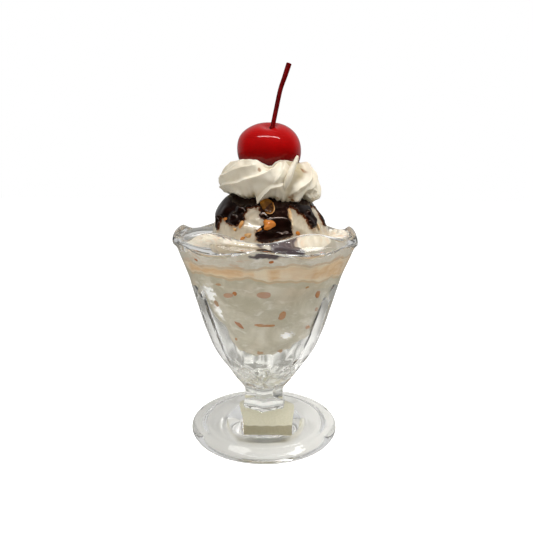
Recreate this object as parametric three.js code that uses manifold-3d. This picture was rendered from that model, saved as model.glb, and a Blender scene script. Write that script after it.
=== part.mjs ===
// An ice cream sundae in its footed pressed glass, in millimetres, Z up, standing on Z = 0.
// Front is -Y. The glass is turned about the Z axis, and the scoop stack stands a little to its right.
import * as THREE from "three";
import { mergeVertices } from "three/addons/utils/BufferGeometryUtils.js";
import Module from "manifold-3d";

const { degToRad, lerp, smoothstep } = THREE.MathUtils;
const turn = 2 * Math.PI;
const gap = 0.3; // air left between touching pieces

// Glass: round foot, six-sided stem, tulip bowl with six flat panels and a six-lobed rolled rim
const glassSize = {
  yaw: degToRad(-2.5),
  sides: 6,
  segments: 48,
  footRadius: 39.8,
  footEdgeRadius: 3.2,
  footEdgeBase: 0.1, // where the rounded edge starts above the ring
  ringOutside: 38.2,
  ringInside: 34.2,
  recessSlope: 3.5, // width of the step between ring and recess
  recessDepth: 2.2,
  recessCrown: 3.2,
  ribsStart: 14.5,
  ribsFull: 16, // the stem is a true hexagon from here to ribsFade
  ribsFade: 24,
  ribsShallow: 40,
  ribShare: 0.21, // how much of a true hexagon the bowl keeps
  archTop: 90,
  archDrop: 9,
  archSoft: 5,
  lobeStart: 84,
  lobeEnd: 104,
  lobeDrop: 1.6, // the wall ends lower under each lobe, where the lip is taller
  lobeSpread: 0.2,
  bowlFloor: 33.4,
};
// The lip's section is an oval that stands taller and leans further in on each lobe
const lipSize = {
  radius: 45.9,
  height: 107.6,
  thick: 2.2,
  tall: 3.9,
  swing: 1.9,
  lean: degToRad(9),
  inset: 0.5,
  from: degToRad(-50),
  to: degToRad(212),
};
const footSteps = 6;
const lipSteps = 6;
const outsideSteps = 16;
const insideSteps = 11;

// Outlines as radius and height
const footTop = [
  [31, 7.3],
  [24.5, 9],
  [18, 11.4],
  [13.2, 13.9],
];
const outerWall = [
  [11.3, 15.2],
  [10.5, 18],
  [10.2, 22],
  [10.3, 25.2],
  [11.6, 28],
  [15.9, 33],
  [21.8, 40.8],
  [27.3, 49.6],
  [32.3, 62.2],
  [36.3, 75.5],
  [38.9, 84.2],
  [42, 92.9],
  [44.4, 99.4],
  [46, 103.4],
];
const innerWall = [
  [7, 33.7],
  [12.4, 34.7],
  [15.6, 37.2],
  [18.6, 41],
  [22.6, 48],
  [27.4, 58.8],
  [32.4, 72],
  [36, 84],
  [39, 93],
  [41.2, 99.4],
  [42.3, 104],
];

// Contents, from the bottom up. Air is what each side leaves to the glass, closing upwards.
const layerSegments = 24;
const fillSize = {
  bottom: 48.4,
  roundUp: 5, // how much the underside's rim lies above its middle
  wave: 0.7,
  airLeft: 6,
  airLeftFull: 58,
  airLeftTop: 76,
  airRight: 7.5,
  airRightFull: 53,
  airRightTop: 60,
};
const caramelSize = {
  bottom: 94,
  sag: 3.1,
  top: 96.8,
  rise: 3.6,
  highAzimuth: degToRad(-12), // the band sags and swells most on this side
  wave: 0.35,
};
const toppingSize = {
  left: 103.4,
  right: 110.2,
  highAzimuth: degToRad(18),
  swell: 1.4,
  lump: 0.7,
  pool: 1.8, // fudge gathers against the glass at the front
  poolAzimuth: degToRad(282),
  poolWidth: degToRad(26),
  segments: 36,
};

// Scoop stack, about an axis of its own
const stackOffset = 1.8;
const scoopSize = {
  radius: 29.6,
  height: 28,
  equator: 105.6,
  bottom: 101.1,
  floorShare: 0.6,
  relief: 0.35,
  segments: 36,
  steps: 12,
};
const skirtSize = {
  azimuth: degToRad(12),
  width: degToRad(34),
  reach: 4.4,
  from: degToRad(55),
  to: degToRad(92),
};
const fudgeSize = {
  thickness: 1.1,
  edge: 0.04, // thinnest edge
  edgeRound: 8, // the higher, the steeper the edge
  reach: degToRad(50),
  dripSoft: 0.45,
  segments: 66,
  steps: 7,
  core: 6,
  coreSteps: 3,
  // the sauce stands thicker on one shoulder
  moundAzimuth: degToRad(201),
  moundPolar: degToRad(47),
  moundWidth: degToRad(34),
  mound: 2.4,
};
const drips = [
  // azimuth, half width and reach from the top, all in degrees
  { azimuth: 199, halfWidth: 6, reach: 78 },
  { azimuth: 221, halfWidth: 27, reach: 72 },
  { azimuth: 274, halfWidth: 21, reach: 85 },
  { azimuth: 317, halfWidth: 13, reach: 74 },
  { azimuth: 341, halfWidth: 6, reach: 69 },
  { azimuth: 20, halfWidth: 15, reach: 66 },
  { azimuth: 66, halfWidth: 19, reach: 80 },
  { azimuth: 116, halfWidth: 16, reach: 65 },
  { azimuth: 159, halfWidth: 17, reach: 76 },
];
const nutSink = 0.7; // share of the fudge's thickness at which a nut's middle lies
const nutRoll = 1.3;
const nuts = [
  // azimuth and angle from the top in degrees, then half length, half width and half thickness
  { azimuth: 268, polar: 68.5, size: [3.1, 2.3, 1.3] },
  { azimuth: 262, polar: 74.5, size: [2, 1.1, 0.8] },
  { azimuth: 212, polar: 63, size: [1.7, 1.3, 0.9] },
  { azimuth: 238, polar: 65, size: [1.1, 1.8, 0.8] },
  { azimuth: 289, polar: 60, size: [1.2, 2.6, 0.9] },
  { azimuth: 268, polar: 53, size: [3.8, 4, 0.8] },
  { azimuth: 66, polar: 66, size: [2.8, 2.1, 1.2] },
  { azimuth: 158, polar: 62, size: [2.2, 1.6, 1] },
];

// Whipped cream: a star-piped ring whose folds climb as they run round, and a small curl
const creamSize = {
  folds: 10,
  foldDepth: 2.8,
  foldMean: 0.5,
  twist: degToRad(180),
  segments: 60,
  steps: 12,
  start: degToRad(-112), // angles round the ring's section where its skin starts and ends
  end: degToRad(126),
  centre: 136.4,
  height: 10.9,
  waist: 24.2,
  throat: 14.6, // radius at the top, where the cherry sits
  tucked: 15, // radius at which the underside meets the scoop
  tuck: 0.35, // the lower, the squarer the hem
  hem: 128.4,
  hemSway: 1.8,
  hemTilt: 0.9,
  hemHigh: degToRad(110),
  // one fold hangs lower than the others
  lowAzimuth: degToRad(342),
  lowWidth: degToRad(26),
  lowDrop: 3,
};
const curlSize = { radius: 1.6, curve: 4, steps: 5 };
const curlRoute = [
  [8.2, -24.4, 135.2],
  [11, -20.8, 142.6],
  [13.6, -16.4, 148.4],
];

// Cherry and its stem
const cherrySize = {
  radius: 16.1,
  height: 14.3,
  centre: 151.5,
  sway: 0.5, // wider than deep by this much
  square: 0.96, // under 1 fills out the shoulders
  dimple: 2.4,
  dimpleWidth: 4.2,
  dimpleY: -7, // the stem grows a little in front of the top
  segments: 28,
  steps: 13,
};
const stemSize = { radius: 1.35, curve: 4, steps: 9 };
const stemRoute = [
  [1.6, -6.9, 163.9],
  [3.3, -4.9, 172],
  [5.2, -2.9, 181],
  [9.5, -0.6, 194.1],
];

// Blank paper label on the underside of the foot
const labelSize = { width: 24.5, depth: 30, thickness: 0.3, x: 2, y: -4 };

const finishes = {
  glass: { color: "#eef2f1", roughness: 0.05 },
  fill: { color: "#cdc4ae", roughness: 0.6 },
  caramel: { color: "#c9a373", roughness: 0.45 },
  topping: { color: "#dcd4c4", roughness: 0.5 },
  scoop: { color: "#e4dccd", roughness: 0.35 },
  fudge: { color: "#220b06", roughness: 0.12 },
  cream: { color: "#ded6c3", roughness: 0.6 },
  cherry: { color: "#a00508", roughness: 0.12 },
  stem: { color: "#6d0a0b", roughness: 0.3 },
  label: { color: "#e6e0c8", roughness: 0.8 },
};

// One mesh, named and coloured
function piece(name, geometry, finish) {
  const mesh = new THREE.Mesh(geometry, new THREE.MeshStandardMaterial({ ...finish, metalness: 0 }));
  mesh.name = name;
  return mesh;
}

const toPoints = (pairs) => pairs.map(([r, z]) => new THREE.Vector2(r, z));
const splinePoints = (pairs, count) => new THREE.SplineCurve(toPoints(pairs)).getPoints(count);
const arcPoints = (x, z, radius, from, to, count) =>
  new THREE.EllipseCurve(x, z, radius, radius, from, to).getPoints(count);
const range = (count, make) => Array.from({ length: count }, (_, i) => make(i));

// A hump, 1 in its middle and 0 from t = 1 outwards
const hump = (t, soft = 1) => smoothstep(1 - Math.abs(t), 0, soft);

// Shortest way round from one direction to another
const angleFrom = (angle, origin) => Math.atan2(Math.sin(angle - origin), Math.cos(angle - origin));

// Turns a half outline about the Z axis. reshape moves each outline point for its azimuth,
// and may swing it round.
function turned(outline, segments, reshape) {
  const geometry = new THREE.LatheGeometry(outline, segments);
  const position = geometry.attributes.position;
  for (let i = 0; i < position.count; i += 1) {
    const step = Math.floor(i / outline.length) % segments;
    const azimuth = (turn * step) / segments - turn / 4;
    const { x, y, swing = 0 } = reshape(outline[i % outline.length], azimuth);
    position.setXYZ(i, x * Math.cos(azimuth + swing), x * Math.sin(azimuth + swing), y);
  }
  return geometry;
}

// A round rod along a route
function rod(route, { radius, curve, steps }) {
  const section = new THREE.Shape();
  section.absarc(0, 0, radius, 0, turn);
  return new THREE.ExtrudeGeometry(section, {
    extrudePath: new THREE.CatmullRomCurve3(route.map((point) => new THREE.Vector3(...point))),
    steps,
    curveSegments: curve,
  });
}

// ---- Glass

// 1 on the rim's lobes and -1 between them
const lobeWave = (azimuth) => Math.cos(glassSize.sides * (azimuth - glassSize.yaw));

// How far the lobes move a point of the wall up and out
function lobeShift(azimuth, z) {
  const share = lobeWave(azimuth) * smoothstep(z, glassSize.lobeStart, glassSize.lobeEnd);
  return { up: -glassSize.lobeDrop * share, out: glassSize.lobeSpread * share };
}

// A point of the lip, by the angle round its section
function lipPoint(azimuth, angle) {
  const { radius, height, thick, tall, swing, lean, inset } = lipSize;
  const wave = lobeWave(azimuth);
  const tilt = lean * (1 + wave);
  const across = thick * Math.cos(angle);
  const along = (tall + swing * wave) * Math.sin(angle);
  return {
    x: radius - inset * wave + across * Math.cos(tilt) - along * Math.sin(tilt),
    y: height + across * Math.sin(tilt) + along * Math.cos(tilt),
  };
}

// Factor by which the outside grows from a panel's middle towards its ribs
function ribFactor(azimuth, z) {
  const pitch = turn / glassSize.sides;
  const side = azimuth - glassSize.yaw;
  const off = side - pitch * Math.round(side / pitch);
  const arch = glassSize.archTop - glassSize.archDrop * (off / (pitch / 2)) ** 2;
  const begin = smoothstep(z, glassSize.ribsStart, glassSize.ribsFull);
  const shallow = smoothstep(z, glassSize.ribsFade, glassSize.ribsShallow);
  const below = 1 - smoothstep(z, arch - glassSize.archSoft, arch);
  return 1 + begin * below * lerp(1, glassSize.ribShare, shallow) * (1 / Math.cos(off) - 1);
}

function underside() {
  const { ringInside, ringOutside, recessSlope, recessDepth, recessCrown } = glassSize;
  return toPoints([
    [0, recessCrown],
    [ringInside - recessSlope, recessDepth],
    [ringInside, 0],
    [ringOutside, 0],
  ]);
}

function outside() {
  const { footRadius, footEdgeRadius, footEdgeBase } = glassSize;
  const edgeX = footRadius - footEdgeRadius;
  const edgeZ = footEdgeRadius + footEdgeBase;
  const edge = arcPoints(edgeX, edgeZ, footEdgeRadius, -turn / 6, turn / 4, footSteps);
  return [...edge, ...toPoints(footTop), ...splinePoints(outerWall, outsideSteps)];
}

function glass() {
  const { from, to } = lipSize;
  const ribbed = outside();
  // the lip's outline points hold an angle round its section
  const lip = range(lipSteps + 1, (i) => new THREE.Vector2(1, lerp(from, to, i / lipSteps)));
  const inside = [...splinePoints(innerWall, insideSteps).reverse(), new THREE.Vector2(0, glassSize.bowlFloor)];
  const outline = [...underside(), ...ribbed, ...lip, ...inside];
  const geometry = turned(outline, glassSize.segments, (point, azimuth) => {
    if (lip.includes(point)) return lipPoint(azimuth, point.y);
    const { up, out } = lobeShift(azimuth, point.y);
    const factor = ribbed.includes(point) ? ribFactor(azimuth, point.y) : 1;
    return { x: point.x && point.x * factor + out, y: point.y + up };
  });
  return piece("glass", geometry, finishes.glass);
}

// Radius of the bowl's inside at one height, straight up from where the lip starts
const cavityPoints = splinePoints(innerWall, 60);
function cavityRadius(azimuth, z) {
  const { up, out } = lobeShift(azimuth, z);
  const above = cavityPoints.findIndex((point) => point.y > z - up);
  if (above < 0) return cavityPoints.at(-1).x + out;
  const [low, high] = [cavityPoints[above - 1], cavityPoints[above]];
  return lerp(low.x, high.x, (z - up - low.y) / (high.y - low.y)) + out;
}

// ---- Layers in the bowl

// Outline points hold a share of the wall's radius and a share of the layer's height
const layerOutline = (sideSteps, shares) => [
  ...shares.map((share) => new THREE.Vector2(share, 0)),
  ...range(sideSteps - 1, (i) => new THREE.Vector2(1, (i + 1) / sideSteps)),
  ...shares.toReversed().map((share) => new THREE.Vector2(share, 1)),
];

function layer(outline, segments, bottom, top, air = () => 0) {
  return turned(outline, segments, (point, azimuth) => {
    const z = lerp(bottom(azimuth, point.x), top(azimuth, point.x), point.y);
    return { x: point.x * (cavityRadius(azimuth, z) - gap - air(azimuth, z)), y: z };
  });
}

// The caramel sags on its right side and swells up there; its neighbours follow it
const caramelSide = (azimuth) => (1 + Math.cos(azimuth - caramelSize.highAzimuth)) / 2;
const caramelBottom = (azimuth, share) => {
  const { bottom, sag, wave } = caramelSize;
  return bottom + share * (wave * Math.sin(3 * azimuth + 1) - sag * caramelSide(azimuth));
};
const caramelTop = (azimuth, share) => {
  const { top, rise, wave } = caramelSize;
  const waves = wave * (Math.sin(2 * azimuth) + Math.cos(5 * azimuth));
  return top + share * (rise * caramelSide(azimuth) ** 3 + waves);
};

// The lower ice cream leaves air beside it, taller on the left than on the right
function fillAir(azimuth, z) {
  const { airLeft, airLeftFull, airLeftTop, airRight, airRightFull, airRightTop } = fillSize;
  const left = Math.max(0, -Math.cos(azimuth)) * airLeft * (1 - smoothstep(z, airLeftFull, airLeftTop));
  const right = Math.max(0, Math.cos(azimuth)) * airRight * (1 - smoothstep(z, airRightFull, airRightTop));
  return left + right;
}

function iceCreamFill() {
  const { bottom, roundUp, wave } = fillSize;
  const floor = (azimuth, share) => bottom + share ** 4 * roundUp + share * wave * Math.sin(4 * azimuth);
  const top = (azimuth, share) => caramelBottom(azimuth, share) - gap;
  const outline = layerOutline(8, [0, 0.45, 0.75, 0.93, 1]);
  return piece("ice_cream_fill", layer(outline, layerSegments, floor, top, fillAir), finishes.fill);
}

function caramelLayer() {
  const geometry = layer(layerOutline(3, [0, 0.5, 1]), layerSegments, caramelBottom, caramelTop);
  return piece("caramel_layer", geometry, finishes.caramel);
}

// Height of the upper ice cream, low on the left and lumpy towards the high right side
function toppingHeight(azimuth, share) {
  const { left, right, highAzimuth, swell, lump, pool, poolAzimuth, poolWidth } = toppingSize;
  const slope = (0.5 + 0.5 * Math.cos(azimuth - highAzimuth)) ** swell;
  const lumps = lump * (Math.sin(7 * azimuth) + Math.sin(4 * azimuth + 9 * share));
  const rise = pool * hump(angleFrom(azimuth, poolAzimuth) / poolWidth);
  return lerp(left, lerp(left, right, slope) + lumps + rise, share);
}

function iceCreamTop(solids) {
  const bottom = (azimuth, share) => caramelTop(azimuth, share) + gap;
  const slab = layer(layerOutline(4, [0, 0.7, 0.84, 1]), toppingSize.segments, bottom, toppingHeight);
  const wells = [scoopGeometry(gap), fudgeGeometry(gap)].map(ontoStack);
  return piece("ice_cream_top", solids.subtract(slab, wells), finishes.topping);
}

// ---- Scoop and fudge

const ontoStack = (geometry) => geometry.translate(stackOffset, 0, 0);

// A point of the scoop's skin, grown by offset. polar is the angle from the top.
function scoopPoint(azimuth, polar, offset) {
  const { radius, height, equator, relief } = scoopSize;
  const lumps = relief * Math.sin(polar) * Math.sin(6 * azimuth + 4 * polar) * Math.sin(9 * polar);
  const skirt = skirtSize.reach * hump(angleFrom(azimuth, skirtSize.azimuth) / skirtSize.width);
  const spread = skirt * smoothstep(polar, skirtSize.from, skirtSize.to);
  return {
    x: (radius + offset) * Math.sin(polar) + lumps + spread,
    y: equator + (height + offset) * Math.cos(polar),
  };
}

function scoopGeometry(offset) {
  const { bottom, equator, height, floorShare, segments, steps } = scoopSize;
  const lowest = Math.acos((bottom - equator) / height);
  const outline = [
    new THREE.Vector2(0, lowest),
    new THREE.Vector2(floorShare, lowest),
    ...range(steps + 1, (i) => new THREE.Vector2(1, (lowest * (steps - i)) / steps)),
  ];
  return turned(outline, segments, (point, azimuth) => {
    const skin = scoopPoint(azimuth, point.y, offset);
    return { x: skin.x * point.x, y: point.y === lowest ? bottom - offset : skin.y };
  });
}

const scoop = () => piece("scoop", ontoStack(scoopGeometry(0)), finishes.scoop);

// How far down the fudge runs at one azimuth
function fudgeReach(azimuth) {
  const reaches = drips.map((drip) => {
    const off = angleFrom(azimuth, degToRad(drip.azimuth)) / degToRad(drip.halfWidth);
    return (degToRad(drip.reach) - fudgeSize.reach) * hump(off, fudgeSize.dripSoft);
  });
  return fudgeSize.reach + Math.max(...reaches);
}

// The fudge's outer skin, grown by offset, over a core that lies inside the scoop. Outline points
// hold a share of the reach and which face they lie on, 0 for the core and 1 for the skin.
function fudgeGeometry(offset) {
  const { thickness, edge, edgeRound, segments, steps, core, coreSteps } = fudgeSize;
  const { moundAzimuth, moundPolar, moundWidth, mound } = fudgeSize;
  const outline = [
    ...range(coreSteps + 1, (i) => new THREE.Vector2(i / coreSteps, 0)),
    ...range(steps + 1, (i) => new THREE.Vector2(1 - i / steps, 1)),
  ];
  return turned(outline, segments, (point, azimuth) => {
    const polar = fudgeReach(azimuth) * point.x;
    const around = angleFrom(azimuth, moundAzimuth) / moundWidth;
    const swell = mound * hump(Math.hypot(around, (polar - moundPolar) / moundWidth));
    const cover = gap + edge + thickness * Math.sqrt(1 - point.x ** edgeRound) + swell + offset;
    return scoopPoint(azimuth, polar, point.y ? cover : -core);
  });
}

// A nut: a rough lump half sunk in the fudge
function nut({ azimuth, polar, size }, index) {
  const [length, width, thickness] = size;
  const bearing = degToRad(azimuth);
  const skin = scoopPoint(bearing, degToRad(polar), gap + fudgeSize.thickness * nutSink);
  const geometry = new THREE.IcosahedronGeometry(1, 0);
  geometry.rotateX(index * nutRoll);
  geometry.scale(length, thickness, width);
  geometry.rotateX(degToRad(polar) - turn / 4);
  geometry.rotateZ(bearing + turn / 4);
  return geometry.translate(skin.x * Math.cos(bearing), skin.x * Math.sin(bearing), skin.y);
}

function fudgeSauce(solids) {
  const sauce = solids.subtract(solids.join(fudgeGeometry(0), nuts.map(nut)), [scoopGeometry(gap)]);
  return piece("fudge_sauce", ontoStack(sauce), finishes.fudge);
}

// ---- Whipped cream

// Sharp crests with hollows between them
const creamFold = (azimuth) => 1 - Math.abs(Math.sin((creamSize.folds / 2) * azimuth));

// Height of the ring's lower edge
function hemHeight(azimuth) {
  const { hem, hemSway, hemTilt, hemHigh, lowAzimuth, lowWidth, lowDrop } = creamSize;
  const low = lowDrop * hump(angleFrom(azimuth, lowAzimuth) / lowWidth);
  return hem + hemSway * Math.cos(2 * azimuth) + hemTilt * Math.cos(azimuth - hemHigh) - low;
}

// A point of the ring's skin by the angle round its section, grown by offset
function creamPoint(azimuth, angle, offset) {
  const { centre, height, waist, throat, tucked, tuck } = creamSize;
  const out = Math.cos(angle);
  const up = Math.sin(angle);
  const round = up > 0 ? out ** 2 : Math.abs(out) ** tuck;
  const base = up > 0 ? throat : tucked;
  return {
    x: base + (waist - base) * (out > 0 ? round : out) + offset * out,
    y: centre + (up > 0 ? height : centre - hemHeight(azimuth)) * up + offset * up,
  };
}

// A ring whose outline points hold an angle round its section, closed on the axis.
// The folds swing as they rise.
function creamRing() {
  const { start, end, steps, segments, foldDepth, foldMean, twist } = creamSize;
  const outline = [
    new THREE.Vector2(0, start),
    ...range(steps + 1, (i) => new THREE.Vector2(1, lerp(start, end, i / steps))),
    new THREE.Vector2(0, end),
  ];
  return turned(outline, segments, (point, azimuth) => {
    const rise = (point.y - start) / (end - start);
    const swing = twist * (rise - 0.5);
    const fold = foldDepth * Math.sqrt(Math.sin(Math.PI * rise)) * (creamFold(azimuth) - foldMean);
    const skin = creamPoint(point.x ? azimuth + swing : 0, point.y, fold);
    return { x: point.x * skin.x, y: skin.y, swing };
  });
}

function whippedCream(solids) {
  const neighbours = [scoopGeometry(gap), fudgeGeometry(gap), cherryGeometry(gap)];
  const curl = rod(curlRoute, curlSize);
  const cream = solids.subtract(solids.join(creamRing(), [curl]), neighbours);
  return piece("whipped_cream", ontoStack(cream), finishes.cream);
}

// ---- Cherry

function cherryGeometry(offset) {
  const { radius, height, centre, sway, square, dimple, dimpleWidth, dimpleY, segments, steps } = cherrySize;
  const outline = range(steps + 1, (i) => new THREE.Vector2(1, (Math.PI * (steps - i)) / steps));
  return turned(outline, segments, (point, azimuth) => {
    const girth = Math.abs(Math.sin(point.y)) ** square;
    const rise = Math.sign(Math.cos(point.y)) * Math.abs(Math.cos(point.y)) ** square;
    const across = (radius + offset) * girth + sway * girth ** 2 * Math.cos(2 * azimuth);
    const away = Math.hypot(across * Math.cos(azimuth), across * Math.sin(azimuth) - dimpleY);
    const dip = rise > 0 ? dimple * Math.exp(-((away / dimpleWidth) ** 2)) : 0;
    const onAxis = point.y === 0 || point.y === Math.PI;
    return { x: onAxis ? 0 : across, y: centre + (height + offset) * rise - dip };
  });
}

const cherry = () => piece("cherry", ontoStack(cherryGeometry(0)), finishes.cherry);

const cherryStem = () => piece("cherry_stem", ontoStack(rod(stemRoute, stemSize)), finishes.stem);

function label() {
  const { width, depth, thickness, x, y } = labelSize;
  const mesh = piece("label", new THREE.BoxGeometry(width, depth, thickness), finishes.label);
  mesh.position.set(x, y, glassSize.recessDepth - gap - thickness / 2);
  return mesh;
}

// Joins and cuts geometries as closed solids
async function solidTools() {
  const wasm = await Module();
  wasm.setup();
  const toSolid = (geometry) => {
    const bare = geometry.clone();
    bare.deleteAttribute("normal");
    bare.deleteAttribute("uv");
    const merged = mergeVertices(bare);
    const vertProperties = new Float32Array(merged.attributes.position.array);
    const triVerts = new Uint32Array(merged.index.array);
    return new wasm.Manifold(new wasm.Mesh({ numProp: 3, vertProperties, triVerts }));
  };
  const toGeometry = (solid) => {
    const mesh = solid.getMesh();
    const geometry = new THREE.BufferGeometry();
    geometry.setAttribute("position", new THREE.BufferAttribute(mesh.vertProperties, 3));
    geometry.setIndex(new THREE.BufferAttribute(mesh.triVerts, 1));
    return geometry;
  };
  const join = (base, others) =>
    toGeometry(others.reduce((solid, other) => solid.add(toSolid(other)), toSolid(base)));
  const subtract = (base, others) => {
    const cut = others.reduce((solid, other) => solid.subtract(toSolid(other)), toSolid(base));
    const bodies = cut.decompose().sort((a, b) => b.volume() - a.volume());
    return toGeometry(bodies[0]); // drops any loose scrap
  };
  return { join, subtract };
}

const solids = await solidTools();
const sundae = new THREE.Group();
sundae.add(glass(), iceCreamFill(), caramelLayer(), iceCreamTop(solids), scoop());
sundae.add(fudgeSauce(solids), whippedCream(solids), cherry(), cherryStem(), label());

export default sundae;
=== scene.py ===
# Ice cream sundae in its footed pressed glass: the looks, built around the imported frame.
# Meshes are worked out in millimetres, Z up and front at -Y, and written in metres.
import math

import bpy
import numpy as np
from mathutils import Matrix, Vector


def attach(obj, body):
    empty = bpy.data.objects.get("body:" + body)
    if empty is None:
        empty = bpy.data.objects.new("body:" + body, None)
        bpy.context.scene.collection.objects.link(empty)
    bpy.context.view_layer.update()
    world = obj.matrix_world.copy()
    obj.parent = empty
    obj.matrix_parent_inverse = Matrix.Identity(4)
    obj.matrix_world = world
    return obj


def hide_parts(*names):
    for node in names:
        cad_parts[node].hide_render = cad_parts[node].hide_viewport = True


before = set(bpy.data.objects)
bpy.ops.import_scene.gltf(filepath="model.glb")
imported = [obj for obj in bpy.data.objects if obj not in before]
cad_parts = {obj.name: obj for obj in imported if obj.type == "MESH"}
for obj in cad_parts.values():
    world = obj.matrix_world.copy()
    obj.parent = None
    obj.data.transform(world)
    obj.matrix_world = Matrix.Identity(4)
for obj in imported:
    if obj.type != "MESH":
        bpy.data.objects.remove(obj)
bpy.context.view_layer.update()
mm = 0.001
turn = 2 * math.pi


# Numbers and noise

def smooth(value, low=0.0, high=1.0):
    share = np.clip((value - low) / (high - low), 0, 1)
    return share * share * (3 - 2 * share)


def mix(a, b, share):
    return a + (b - a) * share


def hump(t, soft=1.0):
    return smooth(1 - np.abs(t), 0, soft)


def angleFrom(angle, origin):
    return np.arctan2(np.sin(angle - origin), np.cos(angle - origin))


def lumps(points, size, seed, waves=16):
    # soft unevenness of about one size, from seeded waves in all directions
    draw = np.random.default_rng(seed)
    ways = draw.normal(size=(waves, 3))
    ways /= np.linalg.norm(ways, axis=1, keepdims=True)
    ways *= (turn / size * draw.uniform(0.6, 1.6, waves))[:, None]
    phases = draw.uniform(0, turn, waves)
    return np.sin(points @ ways.T + phases).sum(-1) * math.sqrt(2 / waves)


def splinePoints(pairs, count):
    # the curve that runs through all points, with even steps between them
    known = np.array(pairs, float)
    last = len(known) - 1
    at = np.linspace(0, last, count)
    cell = np.minimum(at.astype(int), last - 1)
    t = (at - cell)[:, None]
    before = known[np.where(cell == 0, 0, cell - 1)]
    start, end = known[cell], known[cell + 1]
    after = known[np.minimum(cell + 2, last)]
    leave, arrive = (end - before) / 2, (after - start) / 2
    cubic = 2 * start - 2 * end + leave + arrive
    square = -3 * start + 3 * end - 2 * leave - arrive
    return ((cubic * t + square) * t + leave) * t + start


def loopPoints(pairs, steps):
    # a closed curve through all points, in equal steps between each two
    around = [pairs[-1], *pairs, *pairs[:2]]
    return splinePoints(around, (len(around) - 1) * steps + 1)[steps:-steps - 1]


def arcPoints(x, z, radius, start, end, count):
    angles = np.linspace(start, end, count)
    return np.stack([x + radius * np.cos(angles), z + radius * np.sin(angles)], 1)


def circle(columns):
    # even steps of azimuth
    return np.arange(columns) * turn / columns


def waves(angle, terms):
    # a ragged line from a few waves: height, number round and phase of each
    return sum(height * np.sin(number * angle + phase) for height, number, phase in terms)


def polarPoints(radius, azimuth, z, shift=0.0):
    radius, azimuth, z = np.broadcast_arrays(radius, azimuth, z)
    return np.stack([radius * np.cos(azimuth) + shift, radius * np.sin(azimuth), z], -1)


# Meshes

def addPiece(name, verts, faces, material, sharp=None):
    mesh = bpy.data.meshes.new(name)
    mesh.from_pydata((np.asarray(verts) * mm).tolist(), [], faces)
    mesh.validate()
    mesh.shade_smooth()
    if sharp:
        mesh.set_sharp_from_angle(angle=math.radians(sharp))
    piece = bpy.data.objects.new(name, mesh)
    bpy.context.scene.collection.objects.link(piece)
    mesh.materials.append(material)
    return piece


def ringFaces(rows, columns, first=0):
    # quads between rows of columns that close on themselves
    faces = []
    for row in range(rows - 1):
        low, high = first + row * columns, first + (row + 1) * columns
        for column in range(columns):
            after = (column + 1) % columns
            faces.append((low + column, low + after, high + after, high + column))
    return faces


def closedFaces(rows, columns, first=0):
    # the same, with each end row drawn together into one point
    faces = ringFaces(rows - 2, columns, first + 1)
    top, last = first + 1 + (rows - 2) * columns, first + 1 + (rows - 3) * columns
    for column in range(columns):
        after = (column + 1) % columns
        faces.append((first, first + 1 + after, first + 1 + column))
        faces.append((top, last + column, last + after))
    return faces


def closedVerts(grid):
    # the points or values of such a grid, one for each vertex
    return np.concatenate([grid[0, :1], *grid[1:-1], grid[-1, :1]])


def turnedPiece(name, points, material, sharp=None):
    # rows run from the axis below, out and up, and back to the axis; the end rows are one point each
    return addPiece(name, closedVerts(points), closedFaces(*points.shape[:2]), material, sharp)


def roundEnd(share, length):
    # narrows a tube to nothing over the last part of its length
    return np.sqrt(np.clip((1 - share) / length, 0, 1))


def closedTube(route, radii, sides):
    # rings of points round a route, each turned to face along it
    ahead = np.gradient(route, axis=0)
    ahead /= np.linalg.norm(ahead, axis=1, keepdims=True)
    across = np.cross(ahead, (0, 1, 0))
    across /= np.linalg.norm(across, axis=1, keepdims=True)
    over = np.cross(across, ahead)
    angle = circle(sides)
    ring = np.cos(angle)[None, :, None] * across[:, None] - np.sin(angle)[None, :, None] * over[:, None]
    tube = route[:, None] + ring * radii[:, None, None]
    tube[-1] = route[-1]
    return np.concatenate([np.repeat(route[None, :1], sides, 1), tube])


def addMask(piece, name, values):
    # one value for each vertex, which a material reads by this name
    mask = piece.data.attributes.new(name, "FLOAT", "POINT")
    mask.data.foreach_set("value", np.asarray(values, np.float32).ravel())


# Shader nodes, written as expressions

class Wire:
    def __init__(self, look, socket):
        self.look, self.socket = look, socket

    def __add__(self, other):
        return self.look.maths("ADD", self, other)

    def __radd__(self, other):
        return self.look.maths("ADD", other, self)

    def __sub__(self, other):
        return self.look.maths("SUBTRACT", self, other)

    def __rsub__(self, other):
        return self.look.maths("SUBTRACT", other, self)

    def __mul__(self, other):
        return self.look.maths("MULTIPLY", self, other)

    def __rmul__(self, other):
        return self.look.maths("MULTIPLY", other, self)


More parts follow.
